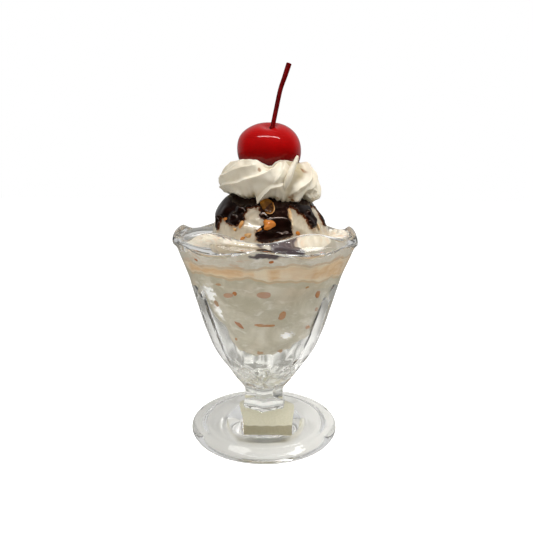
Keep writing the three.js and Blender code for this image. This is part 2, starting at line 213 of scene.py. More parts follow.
class Look:
    # one material's nodes, or the world's

    def __init__(self, name, owner=None):
        self.owner = owner or bpy.data.materials.new(name)
        self.owner.use_nodes = True
        self.tree = self.owner.node_tree
        self.tree.nodes.clear()

    def add(self, kind, settings=None, sockets=None, output=0):
        node = self.tree.nodes.new(kind)
        for key, value in (settings or {}).items():
            if key == "stops":
                self.setStops(node.color_ramp, value)
            else:
                setattr(node, key, value)
        for key, value in (sockets or {}).items():
            if isinstance(value, Wire):
                self.tree.links.new(value.socket, node.inputs[key])
            else:
                node.inputs[key].default_value = tint(value) if isinstance(value, str) else value
        return Wire(self, node.outputs[output]) if len(node.outputs) else node

    def setStops(self, ramp, stops):
        while len(ramp.elements) < len(stops):
            ramp.elements.new(1)
        for element, (place, colour) in zip(ramp.elements, stops):
            element.position = place
            element.color = tint(colour)

    def maths(self, operation, a, b):
        return self.add("ShaderNodeMath", {"operation": operation}, {0: a, 1: b})

    def step(self, value, low, high):
        # 0 below low, 1 above high, soft between them
        sockets = {"Value": value, "From Min": low, "From Max": high}
        return self.add("ShaderNodeMapRange", {"interpolation_type": "SMOOTHSTEP"}, sockets)

    def blend(self, share, a, b):
        # sockets 6 and 7 and output 2 of this node are the ones for colours
        return self.add("ShaderNodeMix", {"data_type": "RGBA"}, {0: share, 6: a, 7: b}, 2)

    def place(self):
        # a point of a piece, in metres
        return self.add("ShaderNodeTexCoord", output="Object")

    def axis(self, letter, vector=None):
        return self.add("ShaderNodeSeparateXYZ", {}, {0: vector or self.place()}, letter)

    def ray(self, kind):
        # 1 for rays of this kind
        return self.add("ShaderNodeLightPath", output=f"Is {kind} Ray")

    def mirrored(self):
        # 1 for what a shiny surface mirrors
        return self.ray("Glossy") * self.ray("Reflection")

    def stretched(self, *scale):
        return self.add("ShaderNodeMapping", {}, {"Vector": self.place(), "Scale": scale})

    def noise(self, scale, detail=3.0, rough=0.5, warp=0.0, vector=None):
        sockets = {"Vector": vector or self.place(), "Scale": scale, "Detail": detail}
        return self.add("ShaderNodeTexNoise", {}, {**sockets, "Roughness": rough, "Distortion": warp})

    def mask(self, name):
        return self.add("ShaderNodeAttribute", {"attribute_name": name}, output="Fac")

    def ramp(self, share, *stops):
        return self.add("ShaderNodeValToRGB", {"stops": stops}, {0: share})

    def bump(self, height, distance, strength):
        sockets = {"Height": height, "Distance": distance, "Strength": strength}
        return self.add("ShaderNodeBump", {}, sockets)

    def finish(self, surface):
        end = "World" if isinstance(self.owner, bpy.types.World) else "Material"
        self.add("ShaderNodeOutput" + end, {}, {"Surface": surface})
        return self.owner

    def principled(self, sockets):
        return self.finish(self.add("ShaderNodeBsdfPrincipled", {}, sockets))


def tint(code):
    # "#rrggbb" as the linear colour that nodes work in
    parts = [int(code[i:i + 2], 16) / 255 for i in (1, 3, 5)]
    linear = [p / 12.92 if p <= 0.04045 else ((p + 0.055) / 1.055) ** 2.4 for p in parts]
    return (*linear, 1.0)


def lightInside(weight, reach, green=0.8, blue=0.6):
    # light that enters a food comes out nearby, less of the green and blue of it
    return {
        "Subsurface Weight": weight,
        "Subsurface Radius": (1.0, green, blue),
        "Subsurface Scale": reach,
    }


# Glass: round foot, hexagonal stem, tulip bowl with flat panels and a six-lobed rolled rim

glassShape = {
    "yaw": math.radians(-2.5),
    "sides": 6,
    "columns": 288,
    "footRadius": 39.8,
    "footEdgeRadius": 3.2,
    "footEdgeBase": 0.1,
    "ringOutside": 38.2,
    "ringInside": 34.2,
    "recessSlope": 3.5,
    "recessDepth": 2.2,
    "recessCrown": 3.2,
    "ribsStart": 14.5,
    "ribsFull": 16,
    "ribsFade": 24,
    "ribsShallow": 40,
    "ribShare": 0.21,
    "archTop": 90,
    "archDrop": 9,
    "archSoft": 5,
    "lobeStart": 84,
    "lobeEnd": 104,
    "lobeDrop": 1.6,  # the wall ends lower under each lobe, where the lip is taller
    "lobeSpread": 0.2,
    "bowlFloor": 33.4,
    "floorRadius": 6.4,
    "floorDish": 0.3,
    "footTop": [(36.6, 6.5), (31, 7.3), (24.5, 9), (18, 11.4), (13.2, 13.9), (11.3, 15.2)],
    "outerWall": [
        (11.3, 15.2), (10.5, 18), (10.2, 22), (10.3, 25.2), (11.6, 28), (15.9, 33), (21.8, 40.8),
        (27.3, 49.6), (32.3, 62.2), (36.3, 75.5), (38.9, 84.2), (42, 92.9), (44.4, 99.4), (46, 103.4),
    ],
    "innerWall": [
        (7, 33.7), (12.4, 34.7), (15.6, 37.2), (18.6, 41), (22.6, 48), (27.4, 58.8), (32.4, 72),
        (36, 84), (39, 93), (41.2, 99.4), (42.3, 104),
    ],
    "wobble": 0.05,  # how uneven the pressed surface is
    "wobbleSize": 13,
    "wobbleHeights": (6, 12),  # none on the underside and the foot's edge
    "ripple": 0.7,  # and the bowl's floor
    "rippleSize": 7,
    "rippleHeights": (36, 52),
    # points along each stretch of the outline
    "steps": {
        "crown": 20, "slope": 8, "footEdge": 14, "footTop": 30, "outerWall": 105, "lip": 26,
        "innerWall": 90, "floor": 8,
    },
    "creases": 28,  # sharper edges than this stay crisp, in degrees
}
# The rolled lip's section is an oval that stands taller and leans further in on each lobe
lipShape = {
    "radius": 45.8,
    "height": 107.6,
    "thick": 2.2,
    "tall": 3.9,
    "swing": 1.9,
    "lean": math.radians(9),
    "inset": 0.5,
    "start": math.radians(-50),
    "end": math.radians(212),
}


def lobeWave(azimuth):
    return np.cos(glassShape["sides"] * (azimuth - glassShape["yaw"]))


def lobeShift(azimuth, z):
    share = lobeWave(azimuth) * smooth(z, glassShape["lobeStart"], glassShape["lobeEnd"])
    return -glassShape["lobeDrop"] * share, glassShape["lobeSpread"] * share


def lipPoints(azimuth, count):
    lip = lipShape
    angle = np.linspace(lip["start"], lip["end"], count)[:, None]
    wave = lobeWave(azimuth)[None, :]
    lean = lip["lean"] * (1 + wave)
    across, along = lip["thick"] * np.cos(angle), (lip["tall"] + lip["swing"] * wave) * np.sin(angle)
    radius = lip["radius"] - lip["inset"] * wave + across * np.cos(lean) - along * np.sin(lean)
    return polarPoints(radius, azimuth, lip["height"] + across * np.sin(lean) + along * np.cos(lean))


def recessHeight(radius):
    # the foot is hollowed a little underneath, most in the middle
    g = glassShape
    return mix(g["recessCrown"], g["recessDepth"], (radius / (g["ringInside"] - g["recessSlope"])) ** 2)


def ribFactor(azimuth, z):
    # how far the flat sides reach past the round outline: a hexagon where ribs are full
    g = glassShape
    pitch = turn / g["sides"]
    side = azimuth - g["yaw"]
    off = side - pitch * np.round(side / pitch)
    arch = g["archTop"] - g["archDrop"] * (off / (pitch / 2)) ** 2
    begin = smooth(z, g["ribsStart"], g["ribsFull"])
    shallow = smooth(z, g["ribsFade"], g["ribsShallow"])
    below = 1 - smooth(z, arch - g["archSoft"], arch)
    return 1 + begin * below * mix(1, g["ribShare"], shallow) * (1 / np.cos(off) - 1)


def glassLook():
    look = Look("pressed_glass")
    # the thick glass of the stem and the bowl's floor is a little greyer
    height = look.axis("Z")
    thick = look.step(height, 0.012, 0.016) * (1 - look.step(height, 0.026, 0.046))
    pale = look.blend(look.noise(18, 2), "#fafaf8", "#fdfdfc")
    clear = look.add("ShaderNodeBsdfPrincipled", {}, {
        "Base Color": look.blend(thick, pale, "#dcddd9"),
        "Roughness": look.step(look.noise(260, 4), 0.62, 0.9) * 0.05,
        "IOR": 1.5,
        "Transmission Weight": 1.0,
    })
    # light from lamps and from the food passes straight through
    through = look.add("ShaderNodeBsdfTransparent", {}, {"Color": "#f7f7f6"})
    share = look.maths("MAXIMUM", look.ray("Shadow"), look.ray("Diffuse"))
    return look.finish(look.add("ShaderNodeMixShader", {}, {0: share, 1: clear, 2: through}))


def makeGlass():
    g, steps = glassShape, glassShape["steps"]
    azimuth = g["yaw"] + circle(g["columns"])
    crown = np.linspace(0, g["ringInside"] - g["recessSlope"], steps["crown"])
    dome = recessHeight(crown)
    slope = np.linspace(0, 1, steps["slope"])[1:]
    under = np.stack([crown[-1] + slope * g["recessSlope"], g["recessDepth"] * (1 - smooth(slope))], 1)
    below = np.vstack([np.stack([crown, dome], 1), under, [(g["ringOutside"], 0)]])
    edgeX, edgeZ = g["footRadius"] - g["footEdgeRadius"], g["footEdgeRadius"] + g["footEdgeBase"]
    edge = arcPoints(edgeX, edgeZ, g["footEdgeRadius"], -turn / 6, turn / 4, steps["footEdge"])
    foot, wall = (splinePoints(g[part], steps[part])[1:] for part in ("footTop", "outerWall"))
    inner = splinePoints(g["innerWall"], steps["innerWall"])[::-1]
    across = np.linspace(g["floorRadius"], 0, steps["floor"])
    dish = g["floorDish"] * (across / g["innerWall"][0][0]) ** 2
    floor = np.stack([across, g["bowlFloor"] + dish], 1)

    def around(outline, ribbed=False):
        radius, z = outline[:, :1], outline[:, 1:]
        up, out = lobeShift(azimuth, z)
        factor = ribFactor(azimuth, z) if ribbed else 1
        return polarPoints(radius * factor + np.where(radius > 0, out, 0), azimuth, z + up)

    outside = [around(below), around(np.vstack([edge, foot, wall]), True), lipPoints(azimuth, steps["lip"])]
    points = np.concatenate([*outside, around(inner), around(floor)])
    wavy = lumps(points, g["wobbleSize"], 4) * g["wobble"] * smooth(points[..., 2], *g["wobbleHeights"])
    points[..., 0] += wavy * np.cos(azimuth)
    points[..., 1] += wavy * np.sin(azimuth)
    bowl = points[sum(len(part) for part in outside):]
    deep = 1 - smooth(bowl[..., 2], *g["rippleHeights"])
    bowl[..., 2] += g["ripple"] * deep * lumps(bowl, g["rippleSize"], 7)
    piece = turnedPiece("pressed_glass", points, glassLook(), g["creases"])
    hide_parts("glass")
    return piece


cavityCurve = splinePoints(glassShape["innerWall"], 400)  # fine enough to be read as straight between points


def cavityRadius(azimuth, z):
    up, out = lobeShift(azimuth, z)
    return np.interp(z - up, cavityCurve[:, 1], cavityCurve[:, 0]) + out


# Layers in the bowl. Each reaches just into the wall, and leaves air where it has shrunk from it.

fillShape = {
    "columns": 256,
    "bottom": 48.4,
    "roundUp": 5,
    "wave": 0.7,
    "film": 0.22,  # air between the lower part and the glass
    "into": 0.15,  # how far the layers reach into the wall
    "filmEnds": (80, 88),
    "airLeft": 6,
    "airLeftHeights": (58, 76),
    "airRight": 7.5,
    "airRightHeights": (53, 60),
    "overlap": 0.4,  # what runs on under the next layer, so that no dark line shows
    # places where the food has shrunk from the glass: azimuth, height, half width, half height
    "pockets": [
        (221, 82.5, 8, 4.8), (226, 73, 4.5, 4.6), (292, 62.5, 7, 1.8), (30, 71, 7, 2.4),
        (118, 66, 6, 3.4), (160, 77, 4, 4.5),
    ],
    # waves of their edges: size, number across, number along, and how they differ from spot to spot
    "pocketEdge": [(0.22, 7, 4, 0), (0.16, 0, 11, 1), (0.1, 19, 0, 0)],
    "pocketSoft": 0.25,
    "pocketDepth": 1.1,
    "rough": 0.5,  # of the underside
    "roughSize": 7,
    "dent": 0.12,  # of the side
    "dentSize": 5,
    "dentHeights": (76, 84),  # it ends between these
    "radius": 30,  # rough size of the bowl, for noise that needs no more
    "sideSteps": 120,
}
caramelShape = {
    "bottom": 94,
    "sag": 3.1,
    "top": 96.8,
    "rise": 3.6,
    "highAzimuth": math.radians(-12),
    "wave": 0.35,
    "edge": 1.5,  # how far the ice cream's colour fades into it
    "stain": 1.6,  # and its own into the ice cream, as a multiple of that
    # small waves of its borders: height, number round, phase
    "bottomWaves": [(0.5, 11, 2), (0.35, 17, 0), (0.25, 39, 1)],
    "topWaves": [(0.45, 9, 1), (0.35, 19, 0), (0.2, 43, 0)],
    "sideSteps": 24,
}
toppingShape = {
    "left": 103.4,
    "right": 110.2,
    "high": math.radians(18),
    "swell": 1.4,
    "lump": 0.7,
    # fudge gathers against the glass at the front
    "pool": 1.8,
    "poolAzimuth": math.radians(282),
    "poolWidth": math.radians(26),
    # where it has run down between the ice cream and the glass, as the pockets are given
    "sauceSpots": [(281.5, 105.7, 17, 3.1), (268, 103.6, 8, 1.2), (236, 104.6, 8, 1.1)],
    "sauceEdge": [(0.2, 5, 3, 0), (0.1, 13, 0, 0)],
    "sauceSoft": 0.3,
    "sunk": 0.25,  # how far it reaches under the scoop's skin
    "meets": 0.6,  # share of the way in at which its height is that beside the scoop
    "fold": (0.5, 8),  # height and size of the soft folds on top
    "crumple": (0.3, 4),
    "steps": {"base": 14, "side": 22, "top": 30, "well": 8},
}


def caramelBottom(azimuth, share):
    c = caramelShape
    sag = c["sag"] * (1 + np.cos(azimuth - c["highAzimuth"])) * 0.5
    ragged = waves(azimuth, c["bottomWaves"])
    return c["bottom"] + share * (c["wave"] * np.sin(3 * azimuth + 1) + ragged - sag)


def caramelTop(azimuth, share):
    c = caramelShape
    rise = c["rise"] * ((1 + np.cos(azimuth - c["highAzimuth"])) * 0.5) ** 3
    ragged = waves(azimuth, c["topWaves"])
    return c["top"] + share * (rise + c["wave"] * (np.sin(2 * azimuth) + np.cos(5 * azimuth)) + ragged)


def fillAir(azimuth, z):
    f = fillShape
    left = np.maximum(0, -np.cos(azimuth)) * f["airLeft"] * (1 - smooth(z, *f["airLeftHeights"]))
    right = np.maximum(0, np.cos(azimuth)) * f["airRight"] * (1 - smooth(z, *f["airRightHeights"]))
    return left + right


def spotShare(azimuth, z, spots, ragged, soft):
    # 1 inside a spot and 0 outside; spots say azimuth, height, half width and half height
    share = np.zeros(np.broadcast(azimuth, z).shape)
    for at, height, halfWidth, halfHeight in spots:
        across = angleFrom(azimuth, math.radians(at)) / math.radians(halfWidth)
        along = (z - height) / halfHeight
        edge = sum(size * np.sin(a * across + b * along + c * at) for size, a, b, c in ragged)
        share = np.maximum(share, smooth(1 - np.hypot(across, along) + edge, 0, soft))
    return share


def wallReach(azimuth, z):
    # what a layer leaves to the wall: a film of air low down, none higher up
    f = fillShape
    film = mix(f["film"], -f["into"], smooth(z, *f["filmEnds"]))
    return film + fillAir(azimuth, z)


def layerGrid(columns, shares, sideSteps):
    # shares of the radius and of the height along a layer's outline
    side = np.linspace(0, 1, sideSteps + 1)[1:-1]
    radial = np.concatenate([shares, np.ones(len(side)), shares[::-1]])
    rise = np.concatenate([np.zeros(len(shares)), side, np.ones(len(shares))])
    return radial[:, None], rise[:, None], circle(columns)


def stainShare(away):
    # 1 at the caramel's border, 0 where its colour no longer reaches
    return 1 - smooth(away, 0, caramelShape["edge"] * caramelShape["stain"])


def creamyShades(look, dark, light, streaked):
    # marbled pale ice cream, as a colour and the noise that made it
    cloud = look.noise(70, 4, 0.6, 0.6)
    streak = look.noise(150, 5, 0.6, 1.2, look.stretched(1, 1, 2.2))
    cream = look.blend(look.step(cloud, 0.35, 0.68), dark, light)
    return look.blend(look.step(streak, 0.52, 0.7) * 0.6, cream, streaked), streak


def stainedEdge(look, cream):
    # caramel that has spread into the ice cream beside it
    toffee = look.step(look.mask("edge") * 0.8 + look.noise(190, 4, 0.6, 0.8) * 0.5, 0.62, 0.8)
    return look.blend(toffee * 0.6, cream, "#d9b88e")


def fillLook():
    look = Look("lower_ice_cream")
    cream, streak = creamyShades(look, "#c6bda5", "#e3dbc8", "#f3eee4")
    warm = look.noise(38, 2)
    cream = look.blend(look.step(warm, 0.52, 0.72) * 0.35, cream, "#d4b998")
    olive = look.noise(52, 3, 0.5, 0.6, look.stretched(1, 1, 1.4))
    cream = look.blend(look.step(olive, 0.5, 0.66) * 0.5, cream, "#bfb597")
    cream = stainedEdge(look, cream)
    # painted reflection: where the food has shrunk from the glass it is painted near white
    pocket = look.mask("pocket")
    cream = look.blend(pocket, cream, "#fdfcfa")
    # painted light: the pockets also glow, standing in for the light that the air in them catches
    return look.principled({
        "Base Color": cream,
        "Emission Color": look.blend(pocket, (0, 0, 0, 1), "#fdfcfa"),
        "Emission Strength": 0.3,
        "Roughness": 0.45 + look.noise(300, 3) * 0.2,
        **lightInside(0.15, 0.0025),
        "Normal": look.bump(streak + look.noise(900, 3) * 0.3, 0.0003, 0.5),
    })


def makeFill():
    f = fillShape
    # rows lie closer together near the wall
    shares = np.concatenate([np.linspace(0, 0.9, 18), np.linspace(0.92, 1, 8)])
    share, rise, azimuth = layerGrid(f["columns"], shares, f["sideSteps"])
    floor = f["bottom"] + share ** 4 * f["roundUp"] + share * f["wave"] * np.sin(4 * azimuth)
    border = caramelBottom(azimuth, share)
    ceiling = border + np.where(share < 1, f["overlap"], 0)
    z = mix(floor, ceiling, rise)
    rough = lumps(polarPoints(share * f["radius"], azimuth, z), f["roughSize"], 21)
    z = z + rough * f["rough"] * (rise == 0)
    pocket = spotShare(azimuth, z, f["pockets"], f["pocketEdge"], f["pocketSoft"]) * (share == 1)
    dents = np.abs(lumps(polarPoints(f["radius"], azimuth, z), f["dentSize"], 22))
    depth = pocket * f["pocketDepth"] + dents * f["dent"] * (1 - smooth(z, *f["dentHeights"]))
    radius = share * (cavityRadius(azimuth, z) - wallReach(azimuth, z) - depth)
    piece = turnedPiece("lower_ice_cream", polarPoints(radius, azimuth, z), fillLook())
    # the share of each pocket, which the material paints near white and makes glow
    addMask(piece, "pocket", closedVerts(pocket))
    addMask(piece, "edge", closedVerts(stainShare(border - z)))
    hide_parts("ice_cream_fill")
    return piece


def caramelLook():
    look = Look("caramel")
    cloud = look.noise(120, 4, 0.55, 0.8, look.stretched(1, 1, 3))
    toffee = look.blend(look.step(cloud, 0.32, 0.7), "#e5bf92", "#f5d9b2")
    pale = look.noise(48, 3, 0.5, 0.5)
    toffee = look.blend(look.step(pale, 0.47, 0.62) * 0.75, toffee, "#f7e9d1")
    faded = look.step(look.mask("edge") * 0.7 + look.noise(120, 4, 0.6, 0.8) * 0.7, 0.5, 0.85)
    toffee = look.blend(faded * 0.4, toffee, "#e6dac2")
    return look.principled({
        "Base Color": toffee,
        "Roughness": 0.35 + cloud * 0.2,
        **lightInside(0.1, 0.002, 0.6, 0.3),
        "Normal": look.bump(cloud, 0.0002, 0.4),
    })


def makeCaramel():
    shares = np.concatenate([np.linspace(0, 0.9, 10), np.linspace(0.94, 1, 4)])
    share, rise, azimuth = layerGrid(fillShape["columns"], shares, caramelShape["sideSteps"])
    low, high = caramelBottom(azimuth, share), caramelTop(azimuth, share)
    z = mix(low, high, rise)
    radius = share * (cavityRadius(azimuth, z) - wallReach(azimuth, z))
    piece = turnedPiece("caramel", polarPoints(radius, azimuth, z), caramelLook())
    inside = np.minimum(z - low, high - z)
    addMask(piece, "edge", closedVerts(1 - smooth(inside, 0, caramelShape["edge"])))
    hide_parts("caramel_layer")
    return piece


def toppingHeight(azimuth, share):
    t = toppingShape
    slope = (0.5 + 0.5 * np.cos(azimuth - t["high"])) ** t["swell"]
    rough = t["lump"] * (np.sin(7 * azimuth) + np.sin(4 * azimuth + 9 * share))
    rough = rough + t["pool"] * hump(angleFrom(azimuth, t["poolAzimuth"]) / t["poolWidth"])
    return mix(t["left"], mix(t["left"], t["right"], slope) + rough, share)


def toppingLook():
    look = Look("upper_ice_cream")
    cream, streak = creamyShades(look, "#d6ccb8", "#ece4d6", "#f6f2ea")
    # peach streaks that run along
    smear = look.noise(70, 4, 0.55, 1.2, look.stretched(1, 1, 3.5))
    cream = look.blend(look.step(smear, 0.53, 0.66) * 0.7, cream, "#dcbc9e")
    cream = stainedEdge(look, cream)
    cream = look.blend(look.mask("sauce"), cream, "#54474a")
    return look.principled({
        "Base Color": cream,
        "Roughness": 0.3 + streak * 0.2,
        **lightInside(0.15, 0.002),
        "Coat Weight": look.step(look.noise(90), 0.4, 0.6) * 0.6,
        "Coat Roughness": 0.08,
        "Normal": look.bump(look.noise(260, 4, 0.6, 1.0), 0.0006, 0.5),
    })


def makeTopping():
    azimuth = stackAzimuth
    s, t, into = scoopShape, toppingShape, fillShape["into"]
    base, rise, shares, well = (np.linspace(0, 1, count)[:, None] for count in t["steps"].values())
    rise, well = rise[1:-1], well[1:]
    seat = s["bottom"] - stack["gap"]
    low = math.acos((seat - s["equator"]) / s["height"])
    border = caramelTop(azimuth, base)
    zBase = border - np.where(base < 1, fillShape["overlap"], 0)
    bottom = polarPoints(base * (cavityRadius(azimuth, zBase) - wallReach(azimuth, zBase)), azimuth, zBase)
    rimTop = toppingHeight(azimuth, 1.0)
    zSide = mix(zBase[-1], rimTop, rise)
    side = polarPoints(cavityRadius(azimuth, zSide) + into, azimuth, zSide)
    # the top runs from the wall to the scoop and folds softly on its way
    wall = polarPoints(cavityRadius(azimuth, rimTop) + into, azimuth, rimTop)
    nearScoop = toppingHeight(azimuth, t["meets"])
    skirtPolar = np.arccos(np.clip((nearScoop - s["equator"]) / s["height"], -1, 1))
    edge = polarPoints(scoopSkin(azimuth, skirtPolar, -t["sunk"])[0], azimuth, nearScoop, stack["x"])
    top = mix(wall, edge, shares[..., None])
    (fold, foldSize), (crumple, crumpleSize) = t["fold"], t["crumple"]
    folds = fold * np.abs(lumps(top, foldSize, 41)) + crumple * lumps(top, crumpleSize, 42)
    top[..., 2] = mix(rimTop, nearScoop, shares) + np.sin(math.pi * shares) * folds
    wellRadius = scoopSkin(azimuth, mix(skirtPolar, low, well), -t["sunk"])[0]
    down = polarPoints(wellRadius, azimuth, mix(nearScoop, seat, well), stack["x"])
    centre = np.tile([stack["x"], 0, seat], (1, len(azimuth), 1))
    points = np.concatenate([bottom, side, top, down, centre])
    piece = turnedPiece("upper_ice_cream", points, toppingLook())
    radius = np.hypot(points[..., 0], points[..., 1])
    above = points[..., 2] - caramelTop(azimuth, 1.0)
    addMask(piece, "edge", closedVerts(stainShare(above)))
    sauce = spotShare(azimuth, points[..., 2], t["sauceSpots"], t["sauceEdge"], t["sauceSoft"])
    addMask(piece, "sauce", closedVerts(sauce * smooth(radius, 33, 37)))
    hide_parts("ice_cream_top")
    return piece


# Bits of nut that are sunk in the layers and press against the glass

bitShape = {
    # azimuth, height, half width, half height, roll in degrees, tone
    "front": [
        (269.5, 85, 3.5, 1.7, 0, 0.1), (243, 83.8, 2.6, 1.2, 10, 0.15), (248, 85, 1.3, 1, 30, 0.75),
        (236, 89.2, 2, 0.8, 0, 0.3), (314, 83.5, 1.3, 2.1, 10, 0.7), (284.5, 74, 2.1, 2.9, -25, 0.6),
        (246.5, 68, 1.3, 3.1, 35, 0.75), (269.5, 69, 4, 0.7, 0, 0.6), (235, 58.5, 1.3, 1, 20, 0.6),
        (289, 53.5, 1.5, 1.1, 0, 0.4), (265, 53.6, 1.6, 0.9, 10, 0.3), (274.5, 101.3, 2.6, 0.9, 5, 0.8),
        (222, 100, 2.2, 0.8, -5, 0.8), (313, 66, 1.4, 1.1, 0, 0.2), (318, 75, 1.2, 1.2, 0, 0.2),
        (228, 78, 1.3, 1.6, 20, 0.3), (301, 88, 1.6, 0.8, 0, 0.5),
    ],
    # more of them at the back, drawn at random
    "back": 14,
    "backAzimuths": (10, 160),  # the first, and how far they go round from it
    "backHeights": (58, 90),
    "backSizes": (0.9, 2.4),
    "backRoll": 60,
    "backTones": (0, 0.8),
    "seed": 71,
    "thickness": 0.9,
    "proud": 0.16,  # how far a bit stands out of the ice cream
}


def lumpPoints(size, seed, rough=0.16, rows=12, columns=20):
    # an uneven lump, as a grid whose end rows are one point each
    polar = np.linspace(math.pi, 0, rows)[:, None]
    ball = polarPoints(np.sin(polar), circle(columns), np.cos(polar))
    swell = 1 + rough * lumps(ball, 2.2, seed, 10)
    return ball * swell[..., None] * np.array(size)


def lumpPiece(name, grids, tones, material):
    # many lumps as one mesh, each with a tone of its own
    verts, faces, values = [], [], []
    for points, tone in zip(grids, tones):
        faces += closedFaces(*points.shape[:2], sum(len(part) for part in verts))
        verts.append(closedVerts(points))
        values.append(np.broadcast_to(tone, points.shape[:2]))
    piece = addPiece(name, np.vstack(verts), faces, material)
    addMask(piece, "tone", np.concatenate([closedVerts(value) for value in values]))
    return piece


def setOnSkin(lump, centre, right, up, out, roll):
    # turns a lump flat onto a skin: its x along right, its y along up, its z out
    cosine, sine = math.cos(roll), math.sin(roll)
    sideways, along = right * cosine + up * sine, up * cosine - right * sine
    return centre + lump @ np.stack([sideways, along, out])


def bitLook():
    look = Look("nut_bits")
    shade = look.mask("tone") + (look.noise(420, 4, 0.6, 0.6) - 0.5) * 0.5
    return look.principled({
        "Base Color": look.ramp(shade, (0, "#c9a18c"), (0.45, "#bd9463"), (0.85, "#b8682e")),
        "Roughness": 0.4 + shade * 0.2,
        "Normal": look.bump(look.noise(700, 3), 0.0002, 0.4),
    })


def makeBits():
    b = bitShape
    draw = np.random.default_rng(b["seed"])
    bits = list(b["front"])
    first, span = b["backAzimuths"]
    for number in range(b["back"]):
        azimuth = first + span * (number + draw.uniform(0.1, 0.9)) / b["back"]
        z, size = draw.uniform(*b["backHeights"]), draw.uniform(*b["backSizes"], 2)
        roll = draw.uniform(-b["backRoll"], b["backRoll"])
        bits.append((azimuth, z, *size, roll, draw.uniform(*b["backTones"])))
    grids, tones = [], []
    for number, (azimuth, z, halfWidth, halfHeight, roll, tone) in enumerate(bits):
        around = math.radians(azimuth)
        radius = cavityRadius(around, z) - max(wallReach(around, z), 0) + b["proud"] - b["thickness"]
        slope = (cavityRadius(around, z + 1) - cavityRadius(around, z - 1)) / 2
        out = np.array([math.cos(around), math.sin(around), -slope])
        up = np.array([slope * math.cos(around), slope * math.sin(around), 1.0])
        right = np.array([-math.sin(around), math.cos(around), 0])
        out, up = out / np.linalg.norm(out), up / np.linalg.norm(up)
        centre = np.array([radius * math.cos(around), radius * math.sin(around), z])
        lump = lumpPoints((halfWidth, halfHeight, b["thickness"]), b["seed"] + number)
        lump[..., 2] = b["thickness"] * np.tanh(3 * lump[..., 2] / b["thickness"])  # flat faces, round edges
        grids.append(setOnSkin(lump, centre, right, up, out, math.radians(roll)))
        tones.append(tone)
    return lumpPiece("nut_bits", grids, tones, bitLook())


# Scoop stack, about an axis of its own

stack = {"x": 1.8, "gap": 0.3, "columns": 480}
scoopShape = {
    "radius": 29.6,
    "height": 28,
    "equator": 105.6,
    "bottom": 101.1,
    "relief": 0.35,
    "fine": 0.14,
    "fineSize": 6,
    "smear": 1.6,  # how far thin sauce stains the ice cream beside it
    "rows": 130,
    "baseRows": 5,
}
skirt = {
    "azimuth": math.radians(12),
    "width": math.radians(34),
    "reach": 4.4,
    "start": math.radians(55),
    "end": math.radians(92),
}
stackAzimuth = circle(stack["columns"])


def scoopSkin(azimuth, polar, offset=0.0, rough=1.0):
    # radius from the stack's axis and height of a point on the scoop; polar is the angle from the top
    s = scoopShape
    relief = s["relief"] * np.sin(polar) * np.sin(6 * azimuth + 4 * polar) * np.sin(9 * polar)
    spread = skirt["reach"] * hump(angleFrom(azimuth, skirt["azimuth"]) / skirt["width"])
    spread = spread * smooth(polar, skirt["start"], skirt["end"])
    ball = polarPoints(s["radius"] * np.sin(polar), azimuth, s["radius"] * np.cos(polar))
    fine = s["fine"] * lumps(ball, s["fineSize"], 31) * np.sin(polar)
    radius = (s["radius"] + offset) * np.sin(polar) + rough * (relief + fine) + spread
    z = s["equator"] + (s["height"] + offset) * np.cos(polar)
    return radius, np.broadcast_to(z, radius.shape)


# Fudge: crisp patches of any outline on the scoop's skin

fudgeShape = {
    "columns": 576,
    "thickness": 1.1,
    "round": 1.3,  # width of the rounded edge
    "bead": 0.35,  # how much thicker it gathers near its edge
    "beadAt": 1.7,
    "beadWidth": 1.1,
    "beadFrom": (math.radians(56), math.radians(70)),  # and low down only
    "under": 0.7,  # how deep it dips into the ice cream outside its edge
    "core": 1.6,  # how deep its hidden inner side lies in the scoop
    "cap": 50,  # angle from the top that it covers all round, in degrees
    "lowest": 88,
    "fineTo": 44,  # below this angle the rows lie close, as its edge runs there
    "rows": (10, 125, 18),  # of the inner side, and of the outer one below and above that
    "ragged": 0.28,
    "raggedSize": 3,
    "steps": 5,  # from point to point of an outline
    # outlines of the patches at the front: azimuth and angle from the top, in degrees
    "patches": [
        [(182, 46), (183, 55), (190, 62), (197.5, 66), (201, 72), (205, 76.5), (210, 75.5), (207.5, 69),
         (208, 64.6), (214.5, 65), (224.6, 69), (231, 70.3), (238, 70.1), (242, 66.9), (245.5, 62.9),
         (243, 60.4), (243.3, 55.2), (245, 51.8), (251.6, 48), (225, 40)],
        [(256.4, 44), (259.8, 53.8), (260.8, 60), (265.6, 62.6), (263.6, 69), (258.4, 73.7), (257.5, 78),
         (259.5, 84), (264, 85.6), (270, 85.4), (277, 83.9), (285, 81.2), (292.2, 79.2), (292.6, 72),
         (292, 66.6), (291.6, 55), (294, 46), (275, 40)],
        [(301, 46), (303.5, 56), (309.2, 59.5), (312.4, 64), (314.6, 71.4), (318, 74), (326.5, 70.8),
         (330, 64.8), (329.4, 54.9), (332, 46), (316, 40)],
        [(352, 50), (346.5, 62.5), (344.6, 71), (351, 73), (355.5, 66), (358, 54)],
    ],
    # drips behind: azimuth, half width and reach from the top, in degrees
    "drips": [
        (17, 14, 66), (29, 7, 58), (60, 13, 82), (76, 9, 69), (95, 6, 61), (116, 14, 66), (137, 6, 57),
        (154, 9, 69), (165, 10, 78),
    ],
    "dripSoft": 0.9,
    # the sauce stands thicker on one shoulder
    "mound": 2.4,
    "moundAzimuth": math.radians(201),
    "moundPolar": math.radians(47),
    "moundWidth": math.radians(34),
    # small swellings that catch the light: azimuth, angle from the top, half width, height
    "swellings": [
        (236, 53, 6, 1.8), (230, 61, 6, 1.6), (217, 56, 7, 0.6), (320, 57, 4, 1.1), (272, 78, 8, 0.5),
    ],
}


def onBall(azimuth, polar):
    return scoopShape["radius"] * polarPoints(np.sin(polar), azimuth, np.cos(polar))


